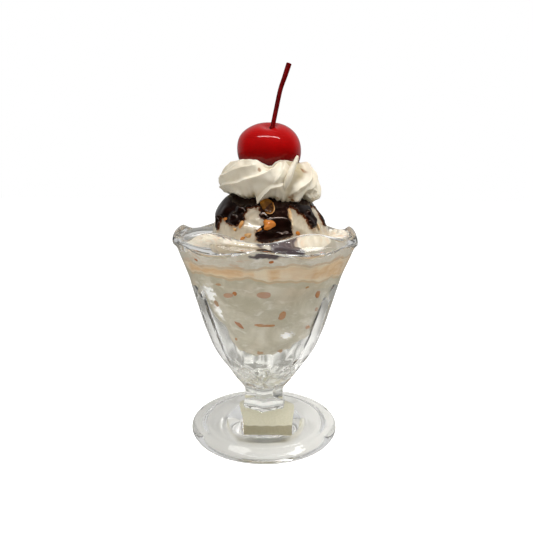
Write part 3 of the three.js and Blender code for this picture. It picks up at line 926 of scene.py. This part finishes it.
def patchDepth(azimuth, polar, outline):
    # distance to a patch's outline in millimetres, below zero outside it
    loop = np.radians(loopPoints(outline, fudgeShape["steps"]))
    ends = onBall(loop[:, 0], loop[:, 1])
    spots = onBall(azimuth, polar)
    nearest = np.full(spots.shape[:-1], 1e9)
    inside = np.zeros(spots.shape[:-1], bool)
    east = azimuth % turn
    for number in range(len(loop)):
        start, run = ends[number - 1], ends[number] - ends[number - 1]
        rel = spots - start
        share = np.clip(rel @ run / (run @ run), 0, 1)
        nearest = np.minimum(nearest, np.linalg.norm(rel - share[..., None] * run, axis=-1))
        (a0, p0), (a1, p1) = loop[number - 1], loop[number]
        if a0 != a1:
            crossing = p0 + (p1 - p0) * (east - a0) / (a1 - a0)
            inside ^= ((a0 > east) != (a1 > east)) & (polar < crossing)
    return np.where(inside, nearest, -nearest)


def fudgeDepth(azimuth, polar):
    # the same for all of the fudge
    f = fudgeShape
    reach = np.full(np.shape(azimuth), float(f["cap"]))
    for at, halfWidth, length in f["drips"]:
        off = np.degrees(angleFrom(azimuth, math.radians(at))) / halfWidth
        reach = np.maximum(reach, f["cap"] + (length - f["cap"]) * hump(off, f["dripSoft"]))
    depth = (np.radians(reach) - polar) * scoopShape["radius"]
    azimuth, polar = np.broadcast_arrays(azimuth, polar)
    for outline in f["patches"]:
        depth = np.maximum(depth, patchDepth(azimuth, polar, outline))
    spots = onBall(azimuth, polar)
    ragged = lumps(spots, f["raggedSize"], 52) + 0.5 * lumps(spots, f["raggedSize"] / 2.5, 53)
    return depth + f["ragged"] * ragged


def scoopLook():
    look = Look("scooped_ice_cream")
    cloud = look.noise(130, 5, 0.55, 0.9)
    cream = look.blend(look.step(cloud, 0.3, 0.7), "#b6a88f", "#d6cab4")
    stain = look.step(look.noise(75, 3, 0.5, 1.0), 0.56, 0.72) * 0.5
    cream = look.blend(stain, cream, "#c4a983")
    smear = look.mask("smear") * look.step(look.noise(420, 4, 0.6, 1.5), 0.34, 0.6)
    cream = look.blend(smear, cream, "#9c6f42")
    return look.principled({
        "Base Color": cream,
        "Roughness": 0.35 + cloud * 0.25,
        **lightInside(0.2, 0.002),
        "Coat Weight": 0.75 + look.step(look.noise(60), 0.4, 0.6) * 0.25,
        "Coat Roughness": 0.05,
        "Normal": look.bump(look.noise(200, 5, 0.55, 1.0), 0.0008, 0.5),
    })


def makeScoop():
    s = scoopShape
    azimuth = stackAzimuth
    lowest = math.acos((s["bottom"] - s["equator"]) / s["height"])
    polar = np.linspace(lowest, 0, s["rows"])[:, None]
    radius, z = scoopSkin(azimuth, polar)
    base = np.linspace(0, 1, s["baseRows"] + 1)[:-1, None] * radius[0]
    radius = np.vstack([base, radius])
    z = np.vstack([np.full(base.shape, s["bottom"]), z])
    piece = turnedPiece("scooped_ice_cream", polarPoints(radius, azimuth, z, stack["x"]), scoopLook())
    smear = 1 - smooth(-fudgeDepth(azimuth, polar), 0, s["smear"])
    addMask(piece, "smear", closedVerts(np.vstack([np.zeros(base.shape), smear])))
    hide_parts("scoop")
    return piece


def fudgeLook():
    look = Look("hot_fudge")
    cloud = look.noise(240, 3, 0.5, 0.6)
    sauce = look.blend(look.step(cloud, 0.4, 0.7), "#0c0301", "#1b0805")
    sauce = look.blend(look.mask("thin"), sauce, "#5a2c12")
    return look.principled({
        "Base Color": sauce,
        "Roughness": 0.12 + cloud * 0.08,
        "IOR": 1.3,
        "Specular Tint": "#e6b795",
        "Coat Weight": 0.4 + cloud * 0.1,
        "Coat Roughness": 0.03,
        "Coat IOR": 1.4,
        "Normal": look.bump(look.noise(60, 2), 0.0004, 0.15),
    })


def makeFudge():
    f = fudgeShape
    azimuth = circle(f["columns"])
    inner, fine, coarse = f["rows"]
    core = np.linspace(0, math.radians(f["lowest"]), inner)[:, None]
    polar = [np.linspace(f["lowest"], f["fineTo"], fine), np.linspace(f["fineTo"] - 1, 0, coarse)]
    polar = np.radians(np.concatenate(polar))[:, None]
    depth = fudgeDepth(azimuth, polar)
    edge = np.clip(depth / f["round"], 0, 1)
    spots = onBall(azimuth, polar)
    flow = 1 + 0.12 * lumps(spots, 11, 51) + 0.03 * lumps(spots, 5, 54)
    around = angleFrom(azimuth, f["moundAzimuth"]) / f["moundWidth"]
    mound = f["mound"] * hump(np.hypot(around, (polar - f["moundPolar"]) / f["moundWidth"]))
    for at, height, halfWidth, swell in f["swellings"]:
        across = angleFrom(azimuth, math.radians(at)) * np.sin(polar)
        away = np.hypot(across, polar - math.radians(height))
        mound = mound + swell * hump(away / math.radians(halfWidth))
    bead = f["bead"] * np.exp(-((depth - f["beadAt"]) / f["beadWidth"]) ** 2)
    bead = bead * smooth(polar, *f["beadFrom"])
    cover = f["thickness"] * np.sqrt(1 - (1 - edge) ** 2) * flow + bead * edge + mound * edge
    cover = np.where(depth > 0, cover, -f["under"] * smooth(-depth, 0, 0.6))
    radius, z = scoopSkin(azimuth, polar, cover, 1 - 0.8 * smooth(depth, 0, 1.4))
    coreRadius, coreZ = scoopSkin(azimuth, core, -f["core"])
    points = polarPoints(np.vstack([coreRadius, radius]), azimuth, np.vstack([coreZ, z]), stack["x"])
    piece = turnedPiece("hot_fudge", points, fudgeLook())
    thin = np.vstack([np.zeros(coreRadius.shape), 1 - smooth(depth, 0.05, 0.45)])
    addMask(piece, "thin", closedVerts(thin))
    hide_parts("fudge_sauce")
    return piece


# Candied nuts and flakes on the scoop

nutShape = {
    "seed": 81,
    "sink": 0.35,  # how high a nut's middle lies over the ice cream
    "rough": 0.2,
    # azimuth, angle from the top, half width, half height, half thickness, roll, tone
    "nuts": [
        (269.5, 68.4, 3.6, 2.6, 1.3, 12, 0.5), (261.5, 74, 2.3, 0.8, 0.9, 35, 0.58),
        (219.7, 65, 1.6, 1.3, 1.2, 0, 0.5), (213, 63, 1.3, 0.7, 0.8, -20, 0.7),
        (242, 68, 1.1, 1.9, 0.9, -20, 0.68), (292.6, 58.5, 0.9, 2.8, 0.9, 0, 0.78),
        (293.4, 66, 0.7, 2.6, 0.7, 4, 0.9), (298.5, 77, 1.1, 0.9, 0.6, 0, 0.4),
        (250.6, 79, 1.6, 1, 0.5, 10, 0.75), (245, 82, 1.2, 0.7, 0.5, 30, 0.55),
        (236, 74, 0.9, 0.7, 0.6, 0, 0.72), (331, 72, 0.9, 1.8, 0.6, 10, 0.85),
        (66, 66, 2.8, 2.1, 1.2, 10, 0.5), (158, 62, 2.2, 1.6, 1, -30, 0.6),
        (100, 72, 1.5, 1.1, 0.8, 40, 0.7),
    ],
}
flakeShape = {
    "azimuth": 268,
    "polar": 50,
    "halfWidth": 3.2,
    "halfHeight": 5.2,
    "lift": 1.5,
    "thickness": 1.1,
    "rim": 0.35,
    "roll": math.radians(24),
    "rough": 0.06,
    "rows": 30,
    "columns": 48,
}


def skinFrame(azimuth, polar, offset):
    # a spot over the scoop's skin, with the ways right, up and out from there
    radius, z = scoopSkin(np.array(azimuth), np.array(polar), offset)
    centre = polarPoints(radius, azimuth, z, stack["x"])
    right = np.array([-math.sin(azimuth), math.cos(azimuth), 0])
    out = polarPoints(math.sin(polar), azimuth, math.cos(polar))
    return centre, right, np.cross(out, right), out


def nutLook():
    look = Look("candied_nuts")
    shade = look.mask("tone") + (look.noise(380, 4, 0.6, 0.8) - 0.5) * 0.45
    tones = [(0.05, "#2a1206"), (0.28, "#94621f"), (0.5, "#c2732e"), (0.72, "#c99a62"), (0.95, "#e9d6b4")]
    return look.principled({
        "Base Color": look.ramp(shade, *tones),
        "Roughness": 0.35 + look.noise(300) * 0.2,
        "Specular IOR Level": 0.05,
        "Coat Weight": 0.08 + look.noise(200) * 0.2,
        "Coat Roughness": 0.05,
        "Normal": look.bump(look.noise(520, 4), 0.0004, 0.5),
    })


def makeNuts():
    n, flake = nutShape, flakeShape
    grids, tones = [], []
    for number, (azimuth, polar, *size, roll, tone) in enumerate(n["nuts"]):
        frameHere = skinFrame(math.radians(azimuth), math.radians(polar), n["sink"])
        lump = lumpPoints(size, n["seed"] + number, n["rough"])
        grids.append(setOnSkin(lump, *frameHere, math.radians(roll)))
        tones.append(tone)
    # one thin flake of candied peel with a raised pale rim lies on the fudge under the cream
    lump = lumpPoints((1, 1, 1), n["seed"], flake["rough"], flake["rows"], flake["columns"])
    out = np.hypot(lump[..., 0], lump[..., 1])
    low = smooth(lump[..., 0] * 0.7 - lump[..., 1], -0.2, 0.7)
    edge = smooth(out, 0.87, 0.97) * low
    lump[..., 2] = lump[..., 2] * flake["thickness"] + flake["rim"] * edge
    golden = smooth(lump[..., 1], -0.1, 0.75)
    lump[..., 0] *= flake["halfWidth"] * (1 + 0.12 * lump[..., 1])
    lump[..., 1] *= flake["halfHeight"]
    frameHere = skinFrame(math.radians(flake["azimuth"]), math.radians(flake["polar"]), flake["lift"])
    tone = mix(0.08 + 0.2 * golden ** 2, 0.75, edge)
    grids.append(setOnSkin(lump, *frameHere, flake["roll"]))
    tones.append(tone)
    piece = lumpPiece("candied_nuts", grids, tones, nutLook())
    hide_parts("fudge_sauce")
    return piece


# Whipped cream: a piped ring whose folds climb as they run round, with a curl where the nozzle left

creamShape = {
    "columns": 620,
    "rows": 150,
    "start": -112,  # angles round the ring's section, in degrees
    "end": 126,
    "centre": 136.4,
    "waist": 24.2,
    "throat": 14.6,
    "tucked": 15,  # radius at which the underside meets the scoop
    "tuck": 0.35,
    "hemAt": 0.94,  # sine of the angle at which the hem hangs
    "height": 10.9,
    "sink": 1.0,
    "relief": 1.2,
    "uneven": 0.1,
    # how far the ring leans in or out: azimuth, near its top, near its hem
    "lean": [
        (0, -2.8, 1.8), (50, 0, 0), (130, 0, 0), (180, -1.8, -0.9), (215, -0.8, -0.2), (250, 0, 0),
        (310, 0, 0), (335, -1.6, 0.8), (360, -2.8, 1.8),
    ],
    # how much lower its top lies
    "notch": [(0, 0), (236, 0.2), (250, 1), (260, 2.2), (268, 3), (275, 2.8), (282, 1), (290, 0), (360, 0)],
    # height of the hem round the ring: azimuth, z
    "hem": [
        (0, 126), (14, 128.4), (30, 127.5), (60, 128.6), (85, 126.6), (110, 128.4), (140, 127), (165, 129.5),
        (185, 130.2), (216, 130), (230, 128.4), (244, 127.6), (252, 129), (256, 126.8), (261, 128),
        (273, 128.7), (282, 127), (294, 126), (312, 125.6), (317, 128.4), (322, 129.4), (330, 127),
        (338, 125.2), (350, 124.8), (360, 126),
    ],
    # folds and marks are measured as on a ring of this radius and with this way up it
    "skinRadius": 25,
    "skinRise": 38,
    # brown marks: azimuth, rise and size
    "smudges": [
        (323, 0.60, 2.2), (297, 0.28, 2.4), (301, 0.22, 1.6), (258, 0.60, 1.2), (345, 0.42, 2.0),
        (280, 0.24, 1.2),
    ],
}
# Folds: points (azimuth, rise), then height, and width of the lower and of the upper side
creamFolds = [
    ([(168, .54), (185, .60), (200, .66), (214, .69), (234, .70), (248, .71), (262, .74)], 2.7, 3.8, 1.2),
    ([(166, .40), (180, .46), (193, .50), (212, .53), (226, .57), (239, .60), (253, .63), (268, .68)],
     3.4, 3.4, 1.0),
    ([(176, .31), (190, .37), (199, .40), (217, .43), (234, .45), (243, .48), (252, .50), (262, .54),
      (271, .60), (280, .66), (291, .74)], 3.3, 5.4, 1.4),
    ([(236, .40), (249, .45), (262, .51)], 1.0, 2.0, 1.2),
    ([(206, .20), (218, .27), (236, .30)], 1.2, 2.6, 2.0),
    ([(253, .17), (256, .22), (261, .28), (266, .34), (272, .39), (280, .42), (290, .45)], 3.0, 5.2, 0.9),
    ([(274, .43), (279, .50), (284, .56), (289, .63), (296, .72)], 2.4, 4.2, 1.6),
    ([(296, .33), (302, .40), (308, .43), (317, .47), (327, .55), (340, .64), (352, .72)], 3.4, 3.2, 1.1),
    ([(318, .33), (330, .44), (341, .51), (354, .59), (366, .70)], 3.0, 3.0, 1.2),
    ([(303, .20), (308, .30), (314, .36), (328, .38), (350, .38)], 2.2, 3.0, 1.2),
    ([(322, .22), (332, .28), (344, .33), (358, .36)], 1.8, 2.4, 1.2),
    ([(346, .27), (360, .40), (372, .52), (384, .66)], 2.6, 3.6, 1.6),
]
backFolds = {
    "first": 8,
    "step": 25,
    "count": 7,
    "climb": [(0, .24), (16, .38), (36, .48), (58, .60), (74, .73)],
    "size": (3.0, 4.6, 1.4),
}
curlShape = {
    "route": [(6.8, -21.6, 131.4), (7.9, -23.6, 134.6), (9.3, -23.3, 138.4), (10.9, -21, 142.4),
              (12.6, -18.6, 145.8), (13.5, -16.6, 148.5)],
    "radii": [0.6, 1.3, 1.6, 1.4, 1.1, 0.75],
    "roundEnd": 0.06,
    "steps": 40,
    "sides": 32,
}


def foldHeight(place, points, height, below, above):
    # a crest along a curve on the ring's skin, falling off on each side
    scale = np.array([math.radians(1) * creamShape["skinRadius"], creamShape["skinRise"]])
    curve = splinePoints(points, 48) * scale
    nearest = np.full(place.shape[:-1], 1e9)
    signed, along = np.zeros(nearest.shape), np.zeros(nearest.shape)
    spot = place * scale
    for number, (a, b) in enumerate(zip(curve[:-1], curve[1:])):
        run, rel = b - a, spot - a
        share = np.clip((rel @ run) / (run @ run), 0, 1)
        off = rel - share[..., None] * run
        distance = np.hypot(off[..., 0], off[..., 1])
        closer = distance < nearest
        nearest = np.where(closer, distance, nearest)
        side = run[0] * rel[..., 1] - run[1] * rel[..., 0]
        signed = np.where(closer, np.sign(side), signed)
        along = np.where(closer, (number + share) / (len(curve) - 1), along)
    # a long face below the crest and a short ledge above it
    off = np.sqrt(nearest ** 2 + 0.02) - 0.14
    face = 0.5 * np.exp(-off / (0.45 * below)) + 0.5 * np.clip(1 - off / (2.2 * below), 0, 1)
    taper = 0.2 + 0.8 * smooth(along, 0, 0.16) * (1 - smooth(along, 0.84, 1))
    return creamShape["relief"] * height * taper * np.where(signed > 0, np.exp(-off / (0.8 * above)), face)


def creamLook():
    look = Look("whipped_cream")
    cloud = look.noise(90, 4, 0.55, 0.7)
    cream = look.blend(look.step(cloud, 0.3, 0.72), "#d6ccb7", "#e6decc")
    # painted shade: the hollows between the folds are painted darker
    cream = look.blend(look.mask("hollow") * 0.75, cream, "#a3926c")
    smudge = look.mask("smudge") * look.step(look.noise(330, 4, 0.6, 0.8), 0.35, 0.6)
    cream = look.blend(smudge, cream, "#8a5f36")
    fine = look.noise(700, 4, 0.6)
    streak = look.noise(240, 4, 0.55, 0.5, look.stretched(1, 1, 2.4))
    return look.principled({
        "Base Color": cream,
        "Roughness": 0.42 + fine * 0.2,
        **lightInside(0.12, 0.0015, blue=0.55),
        "Normal": look.bump(streak * 0.7 + fine * 0.3, 0.0004, 0.4),
    })


def aroundRing(azimuth, table):
    # the columns of a table of azimuths in degrees, read at any azimuth
    places, *columns = np.array(table).T
    return [np.interp(np.degrees(azimuth) % 360, places, column) for column in columns]


def creamSection(azimuth, angle, offset):
    # radius and height on the ring, in radians and millimetres
    c = creamShape
    up, out = np.sin(angle), np.cos(angle)
    upper = c["throat"] + (c["waist"] - c["throat"]) * np.where(out > 0, out ** 2, out)
    lower = c["tucked"] + (c["waist"] - c["tucked"]) * np.where(out > 0, np.abs(out) ** c["tuck"], out)
    hem, = aroundRing(azimuth, c["hem"])
    hem = hem + 0.4 * np.sin(29 * azimuth) * np.sin(17 * azimuth + 1) + 0.25 * np.sin(53 * azimuth + 2)
    drop = (c["centre"] - hem) / c["hemAt"]
    notch, = aroundRing(azimuth, c["notch"])
    z = c["centre"] + np.where(up > 0, c["height"] - notch, drop) * up
    high, low = aroundRing(azimuth, c["lean"])
    lean = mix(low, high, smooth(up, -0.7, 0.8)) * np.clip(out, 0, 1)
    return np.where(up > 0, upper, lower) + offset * out + lean, z + offset * up


def makeCream():
    c = creamShape
    azimuth = np.arange(c["columns"]) * 360 / c["columns"]
    rise = np.linspace(0, 1, c["rows"])
    place = np.stack(np.meshgrid(azimuth, rise, indexing="xy"), -1)
    folds = list(creamFolds)
    for number in range(backFolds["count"]):
        first = backFolds["first"] + number * backFolds["step"]
        folds.append(([(first + a, r) for a, r in backFolds["climb"]], *backFolds["size"]))
    field = np.zeros(place.shape[:-1])
    for points, height, below, above in folds:
        for shift in (-360, 0, 360):
            if points[-1][0] + shift < -30 or points[0][0] + shift > 390:
                continue
            moved = [(a + shift, r) for a, r in points]
            # the higher of two folds wins, with a soft change between them
            field = (field ** 4 + foldHeight(place, moved, height, below, above) ** 4) ** 0.25
    angle = np.radians(mix(c["start"], c["end"], rise))[:, None]
    around = np.radians(azimuth)[None, :]
    soft = np.sqrt(np.sin(math.pi * np.clip(rise, 0.02, 0.98)))[:, None]
    radius, z = creamSection(around, angle, 0.0)
    uneven = c["uneven"] * lumps(polarPoints(radius, around, z), 5, 91)
    radius, z = creamSection(around, angle, (field - c["sink"] + uneven) * soft)
    points = polarPoints(radius, around, z, stack["x"])
    low = np.tile([stack["x"], 0, z[0].mean()], (1, c["columns"], 1))
    high = np.tile([stack["x"], 0, z[-1].mean()], (1, c["columns"], 1))
    ring = np.concatenate([low, points, high])
    steps = curlShape["steps"]
    route = splinePoints(curlShape["route"], steps) + (stack["x"], 0, 0)
    radii = splinePoints([(r, 0) for r in curlShape["radii"]], steps)[:, 0]
    radii = radii * roundEnd(np.linspace(0, 1, steps), curlShape["roundEnd"])
    curl = closedTube(route, radii, curlShape["sides"])
    ringVerts, curlVerts = closedVerts(ring), closedVerts(curl)
    faces = closedFaces(*ring.shape[:2]) + closedFaces(*curl.shape[:2], len(ringVerts))
    piece = addPiece("piped_cream", np.vstack([ringVerts, curlVerts]), faces, creamLook())
    # where the folds fall low, for the painted shade in the hollows
    hollow = (1 - smooth(field, 0.0, 1.3)) * (np.abs(rise[:, None] - 0.45) < 0.3)
    smudge = np.zeros(field.shape)
    for at, height, size in c["smudges"]:
        across = angleFrom(around, math.radians(at)) * c["skinRadius"]
        gap = np.hypot(across, (rise[:, None] - height) * c["skinRise"])
        smudge = np.maximum(smudge, 1 - smooth(gap, 0.3 * size, size))
    rest = np.zeros(len(curlVerts))
    for name, values in (("hollow", hollow), ("smudge", smudge)):
        values = np.vstack([values[:1], values, values[-1:]])
        addMask(piece, name, np.concatenate([closedVerts(values), rest]))
    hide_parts("whipped_cream")
    return piece


# Cherry and stem

cherryShape = {
    "radius": 15.9,
    "height": 14.3,
    "centre": 151.5,
    "sway": 0.5,
    "shoulder": 0.8,  # fuller on its upper left
    "shoulderPolar": 50,
    "shoulderWidth": 28,
    "dimple": 2.4,
    "dimpleWidth": 4.2,
    "dimpleY": -7,  # the stem grows a little in front of the top
    "square": 0.96,  # under 1 fills out the shoulders
    "uneven": 0.12,
    "unevenSize": 22,
    "columns": 192,
    "rows": 110,
}
stemShape = {
    "route": [
        (1.2, -7, 161.6), (2.1, -6.4, 166), (3.3, -4.9, 172), (5.2, -2.9, 181), (7.4, -1.6, 187.6),
        (9.5, -0.6, 194.1),
    ],
    "radius": 1.15,
    "tip": 0.2,  # thicker by this at the end, and at its foot
    "foot": 0.25,
    "roundEnd": 0.012,
    "steps": 60,
    "sides": 24,
}


def cherryLook():
    look = Look("glazed_cherry")
    cloud = look.noise(60, 4, 0.55, 0.8)
    red = look.blend(look.step(cloud, 0.3, 0.72), "#a40000", "#bb0002")
    # painted sheen: the red is painted brighter and paler towards its outline, for the light the glaze
    # reflects there
    grazing = look.add("ShaderNodeLayerWeight", {}, {"Blend": 0.5}, "Facing")
    red = look.blend(look.step(grazing, 0.25, 0.9), red, "#a90306")
    # painted shade: the red is deepest low down, where it sits in the cream
    height = look.axis("Z")
    red = look.blend(look.step(height, 0.142, 0.156), "#480000", red)
    # painted shade: the top is a little darker as well
    red = look.blend(look.step(height, 0.157, 0.166) * 0.35, red, "#7c0002")
    return look.principled({
        "Base Color": red,
        "Roughness": 0.5 + cloud * 0.1,
        "Specular IOR Level": 0.05,
        "Coat Weight": 0.9 + cloud * 0.1,
        "Coat Roughness": 0.01,
        "Coat IOR": 1.35,
        "Normal": look.bump(look.noise(90, 2), 0.0004, 0.35),
    })


def makeCherry():
    c = cherryShape
    azimuth = circle(c["columns"])
    polar = np.linspace(math.pi, 0, c["rows"])[:, None]
    girth = np.sin(polar) ** c["square"]
    across = c["radius"] * girth + c["sway"] * girth ** 2 * np.cos(2 * azimuth)
    left = np.exp(-((np.degrees(polar) - c["shoulderPolar"]) / c["shoulderWidth"]) ** 2)
    left = left * np.maximum(0, -np.cos(azimuth)) ** 2
    across = across + c["shoulder"] * left * girth
    rise = np.sign(np.cos(polar)) * np.abs(np.cos(polar)) ** c["square"]
    away = np.hypot(across * np.cos(azimuth), across * np.sin(azimuth) - c["dimpleY"])
    dip = np.where(np.cos(polar) > 0, c["dimple"] * np.exp(-(away / c["dimpleWidth"]) ** 2), 0)
    z = c["centre"] + c["height"] * rise - dip
    points = polarPoints(across, azimuth, z, stack["x"])
    out = lumps(points, c["unevenSize"], 61) * c["uneven"]
    points[..., :2] += (out * girth)[..., None] * np.stack([np.cos(azimuth), np.sin(azimuth)], -1)
    piece = turnedPiece("glazed_cherry", points, cherryLook())
    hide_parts("cherry")
    return piece


def stemLook():
    look = Look("cherry_stem")
    streak = look.noise(500, 4, 0.6, 0.3, look.stretched(1, 1, 0.12))
    red = look.blend(look.step(streak, 0.3, 0.7), "#460001", "#760002")
    return look.principled({
        "Base Color": red,
        "Roughness": 0.3 + streak * 0.15,
        "Specular IOR Level": 0.04,
        "Coat Weight": 0.1 + streak * 0.1,
        "Coat Roughness": 0.1,
        "Normal": look.bump(streak, 0.0003, 0.5),
    })


def makeStem():
    s = stemShape
    route = splinePoints(s["route"], s["steps"]) + (stack["x"], 0, 0)
    share = np.linspace(0, 1, s["steps"])
    radii = s["radius"] + s["tip"] * smooth(share, 0.6, 1) + s["foot"] * (1 - smooth(share, 0, 0.12))
    tube = closedTube(route, radii * roundEnd(share, s["roundEnd"]), s["sides"])
    piece = turnedPiece("stem", tube, stemLook())
    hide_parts("cherry_stem")
    return piece


# Paper label stuck under the foot

labelShape = {
    "x": (-10.2, 14.2),
    "y": (-19, 11),
    "thickness": 0.25,
    "into": 0.12,  # how far it reaches into the glass it sticks to
    "shaded": -10,  # in front of this it is painted darker, as shade
    "grid": (60, 70),
    "creases": 40,
}


def labelLook():
    look = Look("paper_label")
    fibre = look.noise(900, 5, 0.7)
    paper = look.blend(look.step(fibre, 0.35, 0.65), "#dad5ba", "#e5e0ca")
    # painted shade: the paper's front strip is darker
    paper = look.blend(look.mask("dull"), paper, "#a39b80")
    return look.principled({
        "Base Color": paper,
        "Roughness": 0.8 + fibre * 0.1,
        "Normal": look.bump(fibre, 0.0001, 0.4),
    })


def makeLabel():
    # a sheet that follows the foot's underside
    p = labelShape
    columns, rows = p["grid"]
    x, y = np.meshgrid(np.linspace(*p["x"], columns), np.linspace(*p["y"], rows))
    top = recessHeight(np.hypot(x, y)) + p["into"]
    sheets = [np.stack([x, y, top - drop], -1).reshape(-1, 3) for drop in (0, p["thickness"])]
    count = rows * columns
    faces = []
    for row in range(rows - 1):
        for column in range(columns - 1):
            a = row * columns + column
            faces.append((a, a + 1, a + columns + 1, a + columns))
            faces.append((count + a, count + a + columns, count + a + columns + 1, count + a + 1))
    numbers = np.arange(count).reshape(rows, columns)
    rim = np.concatenate([numbers[0], numbers[1:, -1], numbers[-1, -2::-1], numbers[-2:0:-1, 0]]).tolist()
    faces += [(a, a + count, b + count, b) for a, b in zip([rim[-1], *rim], rim)]
    piece = addPiece("paper_label", np.vstack(sheets), faces, labelLook(), p["creases"])
    edge = p["shaded"] - 1.2 * np.cos(x / 9) + 0.3 * np.sin(x * 1.1)
    dull = 1 - smooth(y, edge - 0.5, edge + 0.5)
    addMask(piece, "dull", np.concatenate([dull.ravel(), dull.ravel()]))
    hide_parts("label")
    return piece


# Studio

view = {
    "camera": (0.75, -272, 138),
    "pitch": 9.7,
    "roll": 0.4,
    "sensor": 36,
    "focalShare": 520 / 533,  # of the sensor's width
}


def makeCamera():
    camera = bpy.data.objects.new("camera", bpy.data.cameras.new("camera"))
    bpy.context.scene.collection.objects.link(camera)
    pitch = Matrix.Rotation(math.radians(90 - view["pitch"]), 4, "X")
    roll = Matrix.Rotation(math.radians(view["roll"]), 4, "Z")
    camera.location = Vector(view["camera"]) * mm
    camera.rotation_euler = (pitch @ roll).to_euler()
    camera.data.lens = view["focalShare"] * view["sensor"]
    camera.data.sensor_width = view["sensor"]
    camera.data.clip_start = 0.01
    bpy.context.scene.camera = camera


floorShape = {
    "half": 3000,
    "grey": (0.05, 0.17),  # metres from the middle between which it turns grey
    "back": (-0.15, 0.25),  # metres along Y over which what is mirrored of it gets brighter
}


def makeFloor():
    look = Look("studio_floor")
    cloud = look.noise(3, 2)
    pale = look.blend(cloud, "#efeeeb", "#f5f4f2")
    # greyer further out, and dim at the front in what the glaze mirrors
    distance = look.add("ShaderNodeVectorMath", {"operation": "LENGTH"}, {0: look.place()}, "Value")
    back = look.step(look.axis("Y"), *floorShape["back"])
    pale = look.blend(look.step(distance, *floorShape["grey"]), pale, "#8e8d89")
    pale = look.blend(look.mirrored() * (0.85 - back * 0.6), pale, "#1c1c1c")
    matt = look.add("ShaderNodeBsdfDiffuse", {}, {"Color": pale})
    glow = look.add("ShaderNodeEmission", {}, {"Color": (1, 1, 1, 1), "Strength": 1.0})
    lit = look.add("ShaderNodeAddShader", {}, {0: matt, 1: glow})
    surface = look.add("ShaderNodeMixShader", {}, {0: look.ray("Camera"), 1: matt, 2: lit})
    half = floorShape["half"]
    verts = [(x * half, y * half, 0) for x, y in ((-1, -1), (1, -1), (1, 1), (-1, 1))]
    floor = addPiece("studio_floor", verts, [(0, 1, 2, 3)], look.finish(surface))


# place, aim and size in metres, power in watts; the strips show only in what the glaze mirrors
lamps = {
    # two long lamps end to end above the front, which give the thin arcs on the glaze
    "strip_left": ((-0.36, -0.62, 1.02), (-0.36, 0, 0.12), (0.66, 0.05), 4.5),
    "strip_right": ((0.34, -0.62, 1.02), (0.34, 0, 0.12), (0.66, 0.05), 4.5),
    "overhead": ((0.15, 0, 1.2), (0, 0, 0.1), (0.7, 0.5), 10),
    "right": ((0.85, -0.35, 0.75), (0, 0, 0.14), (0.5, 0.5), 6.5),
    "left": ((-0.8, -0.8, 0.6), (0, 0, 0.12), (0.7, 0.7), 7.8),
}


def makeLights():
    for name, (place, aim, size, power) in lamps.items():
        lamp = bpy.data.lights.new(name, "AREA")
        lamp.shape = "RECTANGLE"
        lamp.size, lamp.size_y = size
        lamp.energy = power
        holder = bpy.data.objects.new(name, lamp)
        holder.location = place
        holder.rotation_euler = (Vector(aim) - Vector(place)).to_track_quat("-Z", "Z").to_euler()
        holder.visible_glossy = name.startswith("strip")
        holder.visible_diffuse = not holder.visible_glossy
        bpy.context.scene.collection.objects.link(holder)


def makeWorld():
    world = bpy.data.worlds.new("studio")
    bpy.context.scene.world = world
    look = Look("studio", world)
    way = look.add("ShaderNodeTexCoord", output="Generated")
    back, high = look.axis("Y", way), look.axis("Z", way)
    shade = look.step(back, -0.1, 0.65) * 0.6 + look.step(high, 0.1, 0.9) * 0.1 + 0.07
    # dimmer in what the glaze mirrors
    shade = shade * (1 - look.mirrored() * 0.45)
    strength = look.maths("MAXIMUM", shade, look.ray("Camera"))
    look.finish(look.add("ShaderNodeBackground", {}, {"Color": (1, 1, 1, 1), "Strength": strength}))


def setLook():
    scene = bpy.context.scene
    scene.view_settings.view_transform = "Standard"
    scene.cycles.use_denoising = True
    # light passes many walls of glass on its way
    scene.cycles.max_bounces = 32
    scene.cycles.transmission_bounces = 24
    scene.cycles.transparent_max_bounces = 24
    scene.cycles.glossy_bounces = 14
    scene.cycles.caustics_reflective = False
    scene.cycles.blur_glossy = 0.5


print("camera and studio")
makeCamera()
makeFloor()
makeLights()
makeWorld()
setLook()
print("glass")
pieces = [makeGlass()]
print("layers")
pieces += [makeFill(), makeCaramel(), makeTopping(), makeBits()]
print("scoop, fudge and nuts")
pieces += [makeScoop(), makeFudge(), makeNuts()]
print("cream, cherry and stem")
pieces += [makeCream(), makeCherry(), makeStem(), makeLabel()]
for piece in pieces:
    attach(piece, "root")
